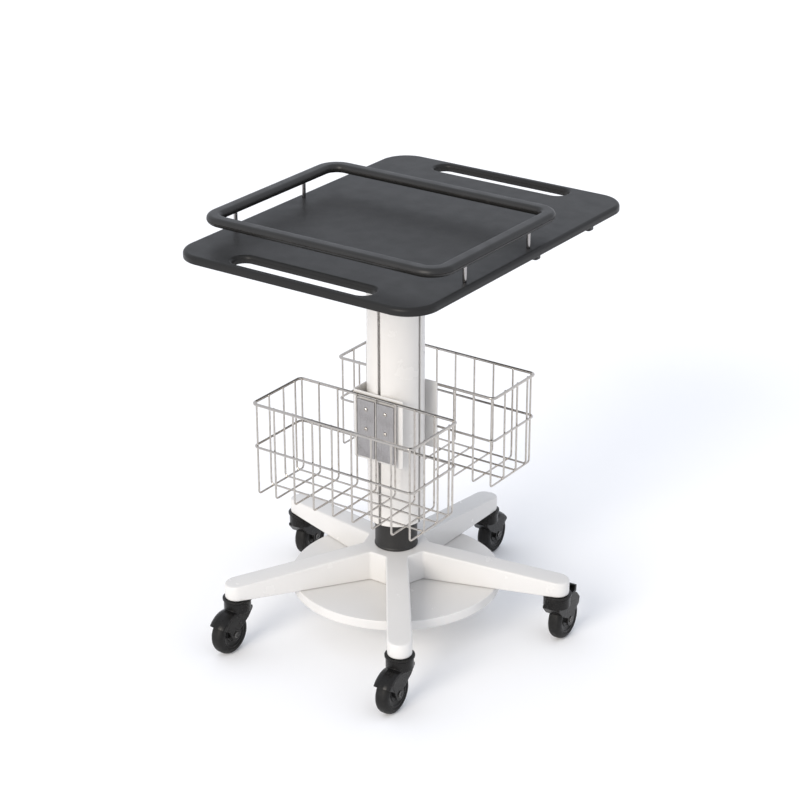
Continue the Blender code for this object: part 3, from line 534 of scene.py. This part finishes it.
LAMINATE = {
    "dark": (0.0150, 0.0148, 0.0145),
    "light": (0.0168, 0.0165, 0.0160),
    "worn": (0.040, 0.0385, 0.037),
    "gloss": (0.36, 0.42),
    "grain": 900.0,
    "depth": 0.00003,
    "sheen": 0.20,
}
RAIL_PLASTIC = {
    "dark": (0.0145, 0.0140, 0.0135),
    "light": (0.0185, 0.0180, 0.0170),
    "worn": (0.055, 0.052, 0.048),
    "gloss": (0.34, 0.44),
    "grain": 1200.0,
    "depth": 0.00004,
    "sheen": 0.36,
}
COLLAR_PLASTIC = {
    "dark": (0.0170, 0.0160, 0.0150),
    "light": (0.0220, 0.0210, 0.0200),
    "worn": (0.055, 0.052, 0.048),
    "gloss": (0.40, 0.54),
    "grain": 1000.0,
    "depth": 0.00006,
    "sheen": 0.40,
}
NYLON = {
    "dark": (0.0070, 0.0066, 0.0062),
    "light": (0.0105, 0.0100, 0.0095),
    "worn": (0.050, 0.047, 0.043),
    "gloss": (0.20, 0.34),
    "grain": 1300.0,
    "depth": 0.00004,
    "sheen": 0.22,
}
BOLT_BLACK = {
    "dark": (0.0100, 0.0100, 0.0100),
    "light": (0.0170, 0.0165, 0.0160),
    "worn": (0.62, 0.60, 0.57),
    "gloss": (0.18, 0.30),
    "grain": 1300.0,
    "depth": 0.00002,
    "sheen": 0.50,
}
COAT = {"white": (0.695, 0.682, 0.662), "shade": (0.668, 0.656, 0.637), "gloss": (0.18, 0.28)}
COLUMN_COAT = {"white": (0.705, 0.683, 0.652), "shade": (0.680, 0.659, 0.630), "gloss": (0.20, 0.30)}
STEEL = {
    "bright": (0.45, 0.435, 0.43),
    "dull": (0.33, 0.315, 0.31),
    "gloss": (0.16, 0.32),
    "stretch": (1.0, 1.0, 0.02),
    "scale": 1800.0,
    "depth": 0.00002,
    "anisotropy": 0.4,
}
BRIGHT_WIRE = {
    "bright": (0.62, 0.585, 0.54),
    "dull": (0.42, 0.39, 0.355),
    "gloss": (0.12, 0.26),
    "stretch": (1.0, 1.0, 0.2),
    "scale": 700.0,
    "depth": 0.00001,
}
FINISHES = {
    "laminate": moulded("black_laminate", **LAMINATE),
    "rail": moulded("black_rail", **RAIL_PLASTIC),
    "collar": moulded("black_collar", **COLLAR_PLASTIC),
    "nylon": moulded("black_nylon", **NYLON),
    "coat": coated("white_coating", **COAT),
    "column": coated("column_coating", **COLUMN_COAT, streaks=(1.0, 1.0, 0.01)),
    "bolt": moulded("blacked_bolt", **BOLT_BLACK),
    "steel": metal("brushed_steel", **STEEL),
    "wire": metal("bright_wire", **BRIGHT_WIRE),
    "tyre": rubber("grey_black_tyre"),
}


# ---------------------------------------------------------------- worktop and rail


def worktop_edge(underside, top):
    """(inset, height) pairs up a worktop edge: rounded a little below and much more above."""
    low, high = WORKTOP_LOW_EDGE, WORKTOP_EDGE
    layers = [(low + FACE_BORDER, underside)]
    layers += [(low + x, underside + low + z) for x, z in arc((0.0, 0.0), low, 270.0, 180.0, 4)]
    layers += [(high + x, top - high + z) for x, z in arc((0.0, 0.0), high, 180.0, 90.0, 12)]
    return layers + [(high + FACE_BORDER, top)]


def rim(bm, layers):
    """Side faces through (outline, height) layers; gives the lowest and the highest ring."""
    rings = [[bm.verts.new((x, y, z)) for x, y in outline] for outline, z in layers]
    for ring, above in zip(rings, rings[1:]):
        for i, corner in enumerate(ring):
            after = (i + 1) % len(ring)
            bm.faces.new((corner, ring[after], above[after], above[i]))
    return rings[0], rings[-1]


def fill(bm, rings):
    """Flat faces between an outer ring of points and the rings inside it."""
    edges = [bm.edges.get((ring[i - 1], ring[i])) for ring in rings for i in range(len(ring))]
    bmesh.ops.triangle_fill(bm, edges=edges, use_beauty=True, normal=(0.0, 0.0, 1.0))


def make_worktop():
    """A slab with two handle slots, all with the same soft edges."""
    low, high, middle = place_of("worktop")
    bm = bmesh.new()
    layers = []
    for inset, z in worktop_edge(low.z, high.z):
        corners = ((low.x + inset, low.y + inset), (high.x - inset, high.y - inset))
        layers.append((rounded_rectangle(*corners, WORKTOP_CORNER - inset, 24), z))
    rims = [rim(bm, layers)]
    for y in (low.y + HANDLE_INSET, high.y - HANDLE_INSET):
        layers = []
        for inset, z in worktop_edge(low.z, high.z):
            half_x, half_y = HANDLE_LENGTH / 2 + inset, HANDLE_WIDTH / 2 + inset
            corners = ((middle.x - half_x, y - half_y), (middle.x + half_x, y + half_y))
            layers.append((rounded_rectangle(*corners, half_y, 20), z))
        rims.append(rim(bm, layers))
    for rings in zip(*rims):
        fill(bm, rings)
    top = object_of(bm, "worktop_slab")
    present(top, "frame", "black_laminate", FINISHES["laminate"], "worktop")


def rail_section(half_width, half_height):
    """Flat top and bottom, round sides, and a groove along the middle of both sides."""
    flat = half_width - half_height
    angle = math.degrees(math.asin(RAIL_GROOVE_HALF / half_height))
    side = half_width - RAIL_GROOVE_DEPTH
    points = []
    floor = RAIL_GROOVE_HALF / 2
    for sign in (1, -1):
        turn = 0.0 if sign > 0 else 180.0
        points += arc((sign * flat, 0.0), half_height, turn - 90.0, turn - angle, 9)
        points += [(sign * side, -sign * floor), (sign * side, sign * floor)]
        points += arc((sign * flat, 0.0), half_height, turn + angle, turn + 90.0, 9)
    return points


def make_guard_rail():
    low, high, middle = place_of("guard_rail")
    section = rail_section(RAIL_BAR_WIDTH / 2, (high.z - low.z) / 2)
    bend = RAIL_CORNER - RAIL_BAR_WIDTH / 2
    half_x = (high.x - low.x - RAIL_BAR_WIDTH) / 2 - bend
    half_y = (high.y - low.y - RAIL_BAR_WIDTH) / 2 - bend
    rings = []
    for quarter, (sx, sy) in enumerate(((1, 1), (-1, 1), (-1, -1), (1, -1))):
        centre = middle + Vector((sx * half_x, sy * half_y, 0.0))
        for step in range(17):
            turn = math.radians(90.0 * (quarter + step / 16))
            outward = Vector((math.cos(turn), math.sin(turn), 0.0))
            spot = centre + outward * bend
            rings.append([spot + outward * r + Vector((0.0, 0.0, z)) for r, z in section])
    rail = object_of(ring_strip(rings), "guard_rail_bar")
    present(rail, "frame", "black_rail", FINISHES["rail"], "guard_rail")


def make_rail_posts():
    for end in ("front", "rear"):
        for hand in ("left", "right"):
            node = f"rail_post_{end}_{hand}"
            low, high, middle = place_of(node)
            radius = (high.x - low.x) / 2
            profile = [(0.0, low.z), (radius, low.z), (radius, high.z), (0.0, high.z)]
            bm = moved(turned(rounded_profile(profile, POST_EDGE), SMALL), middle.x, middle.y)
            stud = object_of(bm, f"rail_stud_{end}_{hand}")
            present(stud, "frame", "brushed_steel", FINISHES["steel"], node)


def make_battens():
    for end in ("middle", "rear"):
        node = f"worktop_batten_{end}"
        low, high, _ = place_of(node)
        outline = rounded_rectangle(low.xy, high.xy, BATTEN_CORNER, 8)
        batten = object_of(prism(outline, low.z, high.z), f"underside_batten_{end}")
        round_edges(batten, BATTEN_EDGE, 4)
        present(batten, "frame", "black_rail", FINISHES["rail"], node)


# ---------------------------------------------------------------- column and base


def column_outline(radius):
    """Round, with a T slot in the middle of each quarter; the slot's mouth is slightly rounded."""
    half_mouth, half_chamber = SLOT_MOUTH / 2, SLOT_CHAMBER_WIDTH / 2
    lip = radius - SLOT_LIP
    floor = lip - SLOT_CHAMBER_DEPTH
    mouth_angle = math.degrees(math.asin((half_mouth + SLOT_EASE) / radius))
    edge = radius * math.cos(math.radians(mouth_angle)) - SLOT_EASE
    points = []
    for quarter in range(4):
        turn = math.radians(90.0 * quarter)
        out = Vector((math.cos(turn), math.sin(turn)))
        across = Vector((-math.sin(turn), math.cos(turn)))
        slot = [
            out * edge - across * half_mouth,
            out * lip - across * half_mouth,
            out * lip - across * half_chamber,
            out * floor - across * half_chamber,
            out * floor + across * half_chamber,
            out * lip + across * half_chamber,
            out * lip + across * half_mouth,
            out * edge + across * half_mouth,
        ]
        points += [(p.x, p.y) for p in slot]
        start, end = 90.0 * quarter + mouth_angle, 90.0 * (quarter + 1) - mouth_angle
        points += arc((0.0, 0.0), radius, start, end, 24)
    return points


def make_column():
    low, high, middle = place_of("column")
    column = object_of(prism(column_outline((high.x - low.x) / 2), low.z, high.z), "column_profile")
    cut(column, cylinder(COLUMN_BORE, low.z - CUT_OVER, high.z + CUT_OVER, FINE))
    column.data.transform(Matrix.Translation((middle.x, middle.y, 0.0)))
    present(column, "frame", "white_coating", FINISHES["column"], "column")


def make_collar():
    low, high, middle = place_of("base_collar")
    column_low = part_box("column")[0].z
    post_low, post_high, _ = place_of("inner_post")
    post = (post_high.x - post_low.x) / 2 + GAP
    flange = (high.x - low.x) / 2
    shoulder = column_low - GAP
    foot = low.z + NECK_FOOT_HEIGHT
    under = shoulder - NECK_FLANGE
    profile = [
        (post, low.z),
        (NECK_RADIUS + NECK_FOOT, low.z),
        (NECK_RADIUS + NECK_FOOT, foot),
        (NECK_RADIUS, foot + NECK_FOOT_SLOPE),
        (NECK_RADIUS, under - NECK_FLANGE_SLOPE),
        (flange, under),
        (flange, shoulder),
        (COLUMN_BORE - GAP, shoulder),
        (COLUMN_BORE - GAP, high.z),
        (post, high.z),
    ]
    bm = moved(turned(rounded_profile(profile, NECK_EDGE)), middle.x, middle.y)
    collar = object_of(bm, "column_neck")
    present(collar, "frame", "black_collar", FINISHES["collar"], "base_collar")


def leg_frame(index):
    turn = math.radians(FIRST_LEG + 360.0 / LEG_COUNT * index)
    return Vector((math.cos(turn), math.sin(turn), 0.0)), Vector((-math.sin(turn), math.cos(turn), 0.0))


def make_star_base():
    """Five legs on a ten-sided hub: flat underside, tops that slope down to round ends."""
    axis = place_of("column")[2]
    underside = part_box("star_base")[0].z
    rear = place_of("caster_cap_rear")[2]
    reach = (rear.xy - axis.xy).length
    half_turn = math.radians(180.0 / LEG_COUNT)
    root = HUB_FLAT * math.cos(half_turn) + LEG_HALF_AT_HUB * math.sin(half_turn)
    slope = (LEG_TOP_AT_END - LEG_TOP_AT_HUB) / (reach - root)
    bm = bmesh.new()
    hub_top, hub_bottom = [], []
    for index in range(LEG_COUNT):
        along, across = leg_frame(index)
        outline = [(root, -LEG_HALF_AT_HUB)]
        outline += arc((reach, 0.0), LEG_HALF_AT_END, -90.0, 90.0, 28)
        outline += [(root, LEG_HALF_AT_HUB)]
        top, bottom = [], []
        for distance, side in outline:
            flat = axis + along * distance + across * side
            height = LEG_TOP_AT_HUB + slope * (distance - root)
            top.append(bm.verts.new((flat.x, flat.y, height)))
            bottom.append(bm.verts.new((flat.x, flat.y, underside)))
        bm.faces.new(top)
        bm.faces.new(bottom)
        for i in range(len(top) - 1):
            bm.faces.new((top[i], top[i + 1], bottom[i + 1], bottom[i]))
        hub_top += [top[0], top[-1]]
        hub_bottom += [bottom[0], bottom[-1]]
    bm.faces.new(hub_top)
    bm.faces.new(hub_bottom)
    for i in range(1, len(hub_top), 2):
        j = (i + 1) % len(hub_top)
        bm.faces.new((hub_top[i], hub_top[j], hub_bottom[j], hub_bottom[i]))
    star = object_of(bm, "star_legs")
    round_edges(star, LEG_EDGE, 5, 30.0)
    for name in CASTER_NAMES:
        spot = place_of(f"caster_cap_{name}")[2]
        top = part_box(f"caster_cap_{name}")[1].z + GAP
        cut(star, moved(cylinder(STEM_BORE, underside - STEM_CUT, top), spot.x, spot.y))
    bore = cylinder(CENTRE_BORE, underside - CUT_OVER, LEG_TOP_AT_HUB + CUT_OVER)
    cut(star, moved(bore, axis.x, axis.y))
    present(star, "frame", "white_coating", FINISHES["coat"], "star_base")


def make_ballast():
    low, high, middle = place_of("ballast_plate")
    radius = (high.x - low.x) / 2
    profile = [(CENTRE_BORE, low.z), (radius, low.z), (radius, high.z), (CENTRE_BORE, high.z)]
    bm = turned(rounded_profile(profile, BALLAST_EDGE, 6), BALLAST_STEPS)
    disc = object_of(moved(bm, middle.x, middle.y), "ballast_disc")
    present(disc, "frame", "white_coating", FINISHES["coat"], "ballast_plate")


# ---------------------------------------------------------------- baskets


def make_bracket():
    """Sheet metal bent into a U round the column, with the outside of both bends rounded."""
    low, high, middle = place_of("basket_bracket")
    inner = BRACKET_BEND - BRACKET_THICK
    t = BRACKET_THICK
    outline = [(high.x, high.y)]
    outline += arc((low.x + BRACKET_BEND, high.y - BRACKET_BEND), BRACKET_BEND, 90.0, 180.0, 10)
    outline += arc((low.x + BRACKET_BEND, low.y + BRACKET_BEND), BRACKET_BEND, 180.0, 270.0, 10)
    outline += [(high.x, low.y), (high.x, low.y + t)]
    outline += arc((low.x + BRACKET_BEND, low.y + BRACKET_BEND), inner, 270.0, 180.0, 10)
    outline += arc((low.x + BRACKET_BEND, high.y - BRACKET_BEND), inner, 180.0, 90.0, 10)
    outline += [(high.x, high.y - t)]
    bracket = object_of(prism(outline, low.z, high.z), "basket_saddle")
    round_edges(bracket, SHEET_EDGE, 3)
    present(bracket, "frame", "white_coating", FINISHES["coat"], "basket_bracket")


def make_clamps():
    for end, outward in (("front", -1), ("rear", 1)):
        for hand in ("left", "right"):
            node = f"clamp_plate_{end}_{hand}"
            low, high, middle = place_of(node)
            thick = high.y - low.y
            outline = rounded_rectangle((low.x, low.z), (high.x, high.z), CLAMP_CORNER, 5)
            flat = [(x, -z) for x, z in outline]
            bm = along_y(prism(flat, middle.y - thick / 2, middle.y + thick / 2))
            clamp = object_of(bm, f"clamp_sheet_{end}_{hand}")
            round_edges(clamp, CLAMP_EDGE, 3)
            present(clamp, "frame", "brushed_steel", FINISHES["steel"], node)
            for number in (1, 2):
                make_screw(f"clamp_screw_{end}_{hand}_{number}", end, hand, number, outward)


def make_screw(node, end, hand, number, outward):
    """A button-head screw with a hexagon socket."""
    low, high, middle = place_of(node)
    head = (high.x - low.x) / 2
    length = high.y - low.y
    under = length - SCREW_DOME
    profile = [(0.0, 0.0), (SCREW_SHANK, 0.0), (SCREW_SHANK, under), (head, under)]
    profile.append((head, under + SCREW_SHOULDER))
    profile += [(head * share, length - depth) for share, depth in SCREW_CROWN]
    profile.append((0.0, length))
    bm = turned(rounded_profile(profile, SCREW_EDGE, 3), SMALL)
    screw = object_of(bm, f"clamp_button_{end}_{hand}_{number}")
    cut(screw, cylinder(SOCKET_RADIUS, length - SOCKET_DEPTH, length + RECESS_CUT, HEXAGON))
    turn = Matrix.Rotation(math.radians(-90.0 * outward), 4, "X")
    base = low.y if outward > 0 else high.y
    screw.data.transform(Matrix.Translation((middle.x, base, middle.z)) @ turn)
    present(screw, "frame", "bright_wire", FINISHES["wire"], node)


def wire(points, radius, closed=False):
    """A bmesh of a round wire along the points, with flat caps on its open ends."""
    path = bpy.data.curves.new("path", "CURVE")
    path.dimensions = "3D"
    path.bevel_depth = radius
    path.bevel_resolution = 3
    path.use_fill_caps = not closed
    line = path.splines.new("POLY")
    line.points.add(len(points) - 1)
    for spot, place in zip(line.points, points):
        spot.co = (*place, 1.0)
    line.use_cyclic_u = closed
    guide = bpy.data.objects.new("path", path)
    bpy.context.scene.collection.objects.link(guide)
    bpy.context.view_layer.update()
    mesh = bpy.data.meshes.new_from_object(guide.evaluated_get(bpy.context.evaluated_depsgraph_get()))
    bpy.data.objects.remove(guide)
    bm = bmesh.new()
    bm.from_mesh(mesh)
    bmesh.ops.remove_doubles(bm, verts=bm.verts, dist=MERGE_DISTANCE)
    bmesh.ops.recalc_face_normals(bm, faces=bm.faces)
    bpy.data.meshes.remove(mesh)
    return bm


def gather(parts):
    """One bmesh from several."""
    whole = bmesh.new()
    for part in parts:
        mesh = bpy.data.meshes.new("part")
        part.to_mesh(mesh)
        part.free()
        whole.from_mesh(mesh)
        bpy.data.meshes.remove(mesh)
    return whole


def bent_u(first, second, top, floor):
    """Points of a U of wire, its two bends as arcs."""
    bend = RIB_BEND
    points = [(first, top)]
    points += arc((first + bend, floor + bend), bend, 180.0, 270.0, 8)
    points += arc((second - bend, floor + bend), bend, 270.0, 360.0, 8)
    return points + [(second, top)]


def nugget(x, y, z, size):
    """The small bead that a spot weld leaves where two wires cross."""
    bm = bmesh.new()
    bmesh.ops.create_icosphere(bm, subdivisions=2, radius=size)
    return moved(bm, x, y, z)


def make_basket(end):
    node = f"basket_{end}"
    low, high, middle = place_of(node)
    rim_z = high.z - RIM_WIRE
    low_y, high_y = low.y + RIM_WIRE, high.y - RIM_WIRE
    half = (high.x - low.x) / 2 - RIM_WIRE
    floor = low.z + CAGE_WIRE
    inset = RIM_WIRE + CAGE_WIRE - WIRE_BITE
    shift = inset - (MID_WIRE + CAGE_WIRE - WIRE_BITE)
    parts = []
    for radius, z, gap in ((RIM_WIRE, rim_z, 0.0), (MID_WIRE, BASKET_MID_Z, shift)):
        loop = rounded_rectangle((-half + gap, low_y + gap), (half - gap, high_y - gap), RIM_BEND, 8)
        parts.append(wire([(x, y, z) for x, y in loop], radius, True))
    top = rim_z + RIB_ABOVE_RIM
    bead = CAGE_WIRE * WELD_SHARE
    front, back = low_y + inset, high_y - inset
    for x in RIB_X:
        parts.append(wire([(x, y, z) for y, z in bent_u(front, back, top, floor)], CAGE_WIRE))
        for z in (rim_z, BASKET_MID_Z):
            parts += [nugget(x, y, z, bead) for y in (front - WIRE_BITE, back + WIRE_BITE)]
    cross_floor = floor + 2 * CAGE_WIRE - WIRE_BITE
    side = half - inset
    for offset in CROSS_RIB_OFFSETS:
        y = low_y + offset
        parts.append(wire([(x, y, z) for x, z in bent_u(-side, side, top, cross_floor)], CAGE_WIRE))
        parts += [nugget(x, y, (floor + cross_floor) / 2, bead) for x in RIB_X]
        for z in (rim_z, BASKET_MID_Z):
            parts += [nugget(x, y, z, bead) for x in (-side - WIRE_BITE, side + WIRE_BITE)]
    basket = object_of(gather(parts), f"wire_basket_{end}")
    present(basket, "frame", "bright_wire", FINISHES["wire"], node)


# ---------------------------------------------------------------- casters


def both_sides(half):
    return [(r, x) for x, r in half] + [(r, -x) for x, r in reversed(half)]


def hood_sector(trail, axle_z, steps):
    """The crowned hood as a solid sector about the axle."""
    profile = both_sides([(HOOD_CROWN[0][0], HOOD_ROOT), *HOOD_CROWN])
    rings = []
    for step in range(steps + 1):
        turn = math.radians(HOOD_TIP_ANGLE + (HOOD_ROOT_ANGLE - HOOD_TIP_ANGLE) * step / steps)
        rings.append([(x, trail + r * math.cos(turn), axle_z + r * math.sin(turn)) for r, x in profile])
    return ring_strip(rings, closed=False)


def fork_outline(trail, axle_z):
    axle = (trail, axle_z)
    top = arc(axle, HOOD_INSIDE[0][1], 50.0, 80.0, 8)
    return top + list(FORK_NOSE) + arc(axle, TONGUE_RADIUS, 150.0, 345.0, 24)


def fork_mesh(name, braked, trail, axle_z, top):
    """A moulded fork about its swivel axis, trailing towards +Y."""
    fork = object_of(plate(fork_outline(trail, axle_z), FORK_HALF_WIDTH), name)
    join(fork, hood_sector(trail, axle_z, 24))
    join(fork, cylinder(FORK_BODY_RADIUS, FORK_BODY_BOTTOM, top, FINE))
    if braked:
        join(fork, plate(HOUSING_OUTLINE, HOUSING_HALF_WIDTH))
        wide = (-POCKET_HALF_WIDTH, POCKET_HALF_WIDTH)
        length = (POCKET_FRONT, POCKET_BACK)
        height = (POCKET_FLOOR, POCKET_TOP)
        cut(fork, box(wide, length, height))
    cut(fork, moved(along_x(cylinder(AXLE_BORE, -CUT_REACH, CUT_REACH)), y=trail, z=axle_z))
    cut(fork, cylinder(PIVOT_BORE, top - PIVOT_DEPTH, top + CUT_OVER))
    inside = both_sides([(HOOD_INSIDE[0][0], 0.0), *HOOD_INSIDE])
    cut(fork, moved(along_x(turned(inside, 64)), y=trail, z=axle_z))
    melt(fork, MELT_VOXEL, MELT_PASSES, MELT_SHARE)
    mesh = fork.data
    bpy.data.objects.remove(fork)
    return mesh


def pedal_mesh():
    """A foot pedal about its pivot, with the pin that it turns on."""
    pivot_y, pivot_z = PEDAL_PIVOT
    outline = arc(PEDAL_PIVOT, PEDAL_NOSE, 90.0, 270.0, 12) + list(PEDAL_OUTLINE)
    outline = [(y - pivot_y, z - pivot_z) for y, z in outline]
    pedal = object_of(plate(outline, PEDAL_HALF_WIDTH), "pedal")
    round_edges(pedal, PEDAL_EDGE, 3)
    join(pedal, along_x(cylinder(PEDAL_PIN_RADIUS, -PEDAL_PIN_HALF, PEDAL_PIN_HALF)))
    mesh = pedal.data
    bpy.data.objects.remove(pedal)
    return mesh


def tyre_profile(radius):
    """Round tread, flat walls, and a small bead step where the tyre meets the hub."""
    flat = TYRE_HALF_WIDTH - TREAD_ROUND
    shoulder = radius - TREAD_ROUND
    right = arc((shoulder, flat), TREAD_ROUND, 0.0, 90.0, 14)
    left = arc((shoulder, -flat), TREAD_ROUND, -90.0, 0.0, 14)
    bead = [(TYRE_BORE + out, TYRE_HALF_WIDTH - inside) for out, inside in TYRE_BEAD]
    bead.append((TYRE_BORE, bead[-1][1]))
    return left + right + bead + [(r, -x) for r, x in reversed(bead)]


def hub_profile():
    """A dished hub: outer flange, a step down, a sloping dish, a low ring and a raised boss."""
    outer = TYRE_BORE - GAP
    flange = outer - HUB_FLANGE
    half = HUB_HALF_WIDTH
    right = [(outer, half), (flange, half), (flange - HUB_FLANGE_SLOPE, half - HUB_FLANGE)]
    right += [(radius, half - depth) for radius, depth in HUB_RING]
    right += [(HUB_BOSS[0], half - HUB_DISH), (HUB_BOSS[1], half), (AXLE_BORE, half)]
    return right + [(r, -x) for r, x in reversed(right)]


def axle_mesh(half_length):
    """A bolt across the fork: hexagon heads with a round recess in each end."""
    reach = half_length - AXLE_BITE
    shaft = object_of(along_x(cylinder(AXLE_RADIUS, -reach, reach)), "axle")
    for side in (-1, 1):
        head = sorted((side * (half_length - AXLE_HEAD_HEIGHT), side * half_length))
        join(shaft, along_x(cylinder(AXLE_HEAD_RADIUS, *head, HEXAGON)))
        recess = sorted((side * (half_length - AXLE_RECESS_DEPTH), side * (half_length + RECESS_CUT)))
        cut(shaft, along_x(cylinder(AXLE_RECESS_RADIUS, *recess)))
    round_edges(shaft, AXLE_EDGE, 2)
    mesh = shaft.data
    bpy.data.objects.remove(shaft)
    return mesh


def part_from(mesh, name, matrix):
    """An object with its own copy of the mesh, put in place."""
    made = bpy.data.objects.new(name, mesh.copy())
    bpy.context.scene.collection.objects.link(made)
    made.matrix_world = matrix
    return made


def make_casters():
    swivel = place_of("caster_cap_rear")[2]
    hub = place_of("wheel_hub_rear")[2]
    tyre_low, tyre_high, _ = place_of("wheel_tyre_rear")
    trail = (hub.xy - swivel.xy).length
    fork_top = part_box("caster_fork_rear")[1].z
    radius = (tyre_high.z - tyre_low.z) / 2
    forks = {
        False: fork_mesh("plain_fork", False, trail, hub.z, fork_top),
        True: fork_mesh("braked_fork", True, trail, hub.z, fork_top),
    }
    pedal = pedal_mesh()
    axle = axle_mesh(FORK_HALF_WIDTH + AXLE_OUTSIDE)
    tyre = object_of(along_x(turned(tyre_profile(radius))), "tyre")
    hub_object = object_of(along_x(turned(rounded_profile(hub_profile(), HUB_EDGE, 2))), "hub")
    for name in CASTER_NAMES:
        braked = name in BRAKED
        cap_low, cap_high, spot = place_of(f"caster_cap_{name}")
        wheel = place_of(f"wheel_hub_{name}")[2]
        back = wheel - spot
        turn = math.atan2(back.y, back.x) - math.radians(90.0)
        frame_here = Matrix.Translation((spot.x, spot.y, 0.0)) @ Matrix.Rotation(turn, 4, "Z")
        at_wheel = Matrix.Translation(wheel) @ Matrix.Rotation(turn, 4, "Z")
        make_cap(name, spot, cap_low, cap_high)
        fork = part_from(forks[braked], f"fork_moulding_{name}", frame_here)
        body, node = f"caster_{name}", f"caster_fork_{name}"
        present(fork, body, "black_nylon", FINISHES["nylon"], node, smooth_all=True)
        bolt = part_from(axle, f"axle_bolt_{name}", at_wheel)
        present(bolt, body, "brushed_steel", FINISHES["bolt"], f"caster_axle_{name}")
        tread = part_from(tyre.data, f"tyre_{name}", at_wheel)
        wheel_body = f"wheel_{name}"
        present(tread, wheel_body, "grey_black_tyre", FINISHES["tyre"], f"wheel_tyre_{name}")
        centre = part_from(hub_object.data, f"hub_{name}", at_wheel)
        present(centre, wheel_body, "black_nylon", FINISHES["nylon"], f"wheel_hub_{name}")
        if braked:
            at_pedal = frame_here @ Matrix.Translation((0.0, *PEDAL_PIVOT))
            lever = part_from(pedal, f"foot_pedal_{name}", at_pedal)
            present(lever, f"brake_{name}", "black_nylon", FINISHES["nylon"], f"brake_pedal_{name}")
    bpy.data.objects.remove(tyre)
    bpy.data.objects.remove(hub_object)


def make_cap(name, spot, low, high):
    """The swivel's fixed cap with its pivot below and its stem above."""
    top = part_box("star_base")[0].z - GAP
    bottom = top - CAP_THICK
    outer = (high.x - low.x) / 2
    profile = [
        (0.0, low.z),
        (CAP_PIVOT_RADIUS, low.z),
        (CAP_PIVOT_RADIUS, bottom),
        (outer - CAP_UNDERCUT, bottom),
        (outer - CAP_UNDERCUT, bottom + CAP_UNDERCUT_HEIGHT),
        (outer, bottom + CAP_UNDERCUT_HEIGHT),
        (outer, top),
        (CAP_STEM_RADIUS, top),
        (CAP_STEM_RADIUS, high.z),
        (0.0, high.z),
    ]
    bm = moved(turned(rounded_profile(profile, CAP_EDGE, 3)), spot.x, spot.y)
    cap = object_of(bm, f"swivel_cap_{name}")
    present(cap, "frame", "black_nylon", FINISHES["nylon"], f"caster_cap_{name}")


def dress_hidden_nodes():
    """The CAD nodes that stay as they are get a finish of their own."""
    for node in ("centre_bolt", "inner_post", "top_plate", "slot_nut_front", "slot_nut_rear"):
        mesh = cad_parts[node].data
        mesh.materials.clear()
        mesh.materials.append(FINISHES["steel"])
        mesh.shade_smooth()
        mesh.set_sharp_from_angle(angle=SHARP_ANGLE)


# ---------------------------------------------------------------- stage, light and camera

CAMERA_AZIMUTH = math.radians(34.88)
CAMERA_TILT = math.radians(23.89)
CAMERA_ROLL = math.radians(-0.131)
CAMERA_PLACE = (1.8589, -2.6840, 1.8360)
CAMERA_LENS = 99.22


def make_stage():
    bm = bmesh.new()
    bmesh.ops.create_grid(bm, x_segments=1, y_segments=1, size=40.0)
    floor = object_of(bm, "floor")
    made, tree, shader = material("studio_floor", 0.9)
    shader.inputs["Base Color"].default_value = (0.97, 0.97, 0.97, 1.0)
    shader.inputs["Specular IOR Level"].default_value = 0.1
    floor.data.materials.append(made)


def make_light():
    world = bpy.data.worlds.new("studio")
    bpy.context.scene.world = world
    world.use_nodes = True
    background = world.node_tree.nodes["Background"]
    background.inputs["Color"].default_value = (0.885, 0.92, 1.0, 1.0)
    background.inputs["Strength"].default_value = 0.98
    key = bpy.data.lights.new("key", "SUN")
    key.energy = 2.0
    key.angle = math.radians(28.0)
    key.color = (1.0, 0.93, 0.84)
    lamp = bpy.data.objects.new("key", key)
    lamp.rotation_euler = Vector((0.02, -0.93, 0.46)).to_track_quat("Z", "Y").to_euler()
    bpy.context.scene.collection.objects.link(lamp)


def make_camera():
    camera = bpy.data.objects.new("camera", bpy.data.cameras.new("camera"))
    bpy.context.scene.collection.objects.link(camera)
    flat = math.cos(CAMERA_TILT)
    forward = Vector(
        (-math.sin(CAMERA_AZIMUTH) * flat, math.cos(CAMERA_AZIMUTH) * flat, -math.sin(CAMERA_TILT))
    )
    right = forward.cross(Vector((0.0, 0.0, 1.0))).normalized()
    up = right.cross(forward)
    side = right * math.cos(CAMERA_ROLL) + up * math.sin(CAMERA_ROLL)
    high = up * math.cos(CAMERA_ROLL) - right * math.sin(CAMERA_ROLL)
    pose = Matrix((side, high, -forward)).transposed().to_4x4()
    pose.translation = Vector(CAMERA_PLACE)
    camera.matrix_world = pose
    camera.data.lens = CAMERA_LENS
    camera.data.sensor_width = 36.0
    bpy.context.scene.camera = camera
    bpy.context.scene.view_settings.view_transform = "Standard"


make_camera()
make_stage()
make_light()
make_worktop()
make_guard_rail()
make_rail_posts()
make_battens()
make_column()
make_collar()
make_star_base()
make_ballast()
make_bracket()
make_clamps()
make_basket("front")
make_basket("rear")
make_casters()
dress_hidden_nodes()
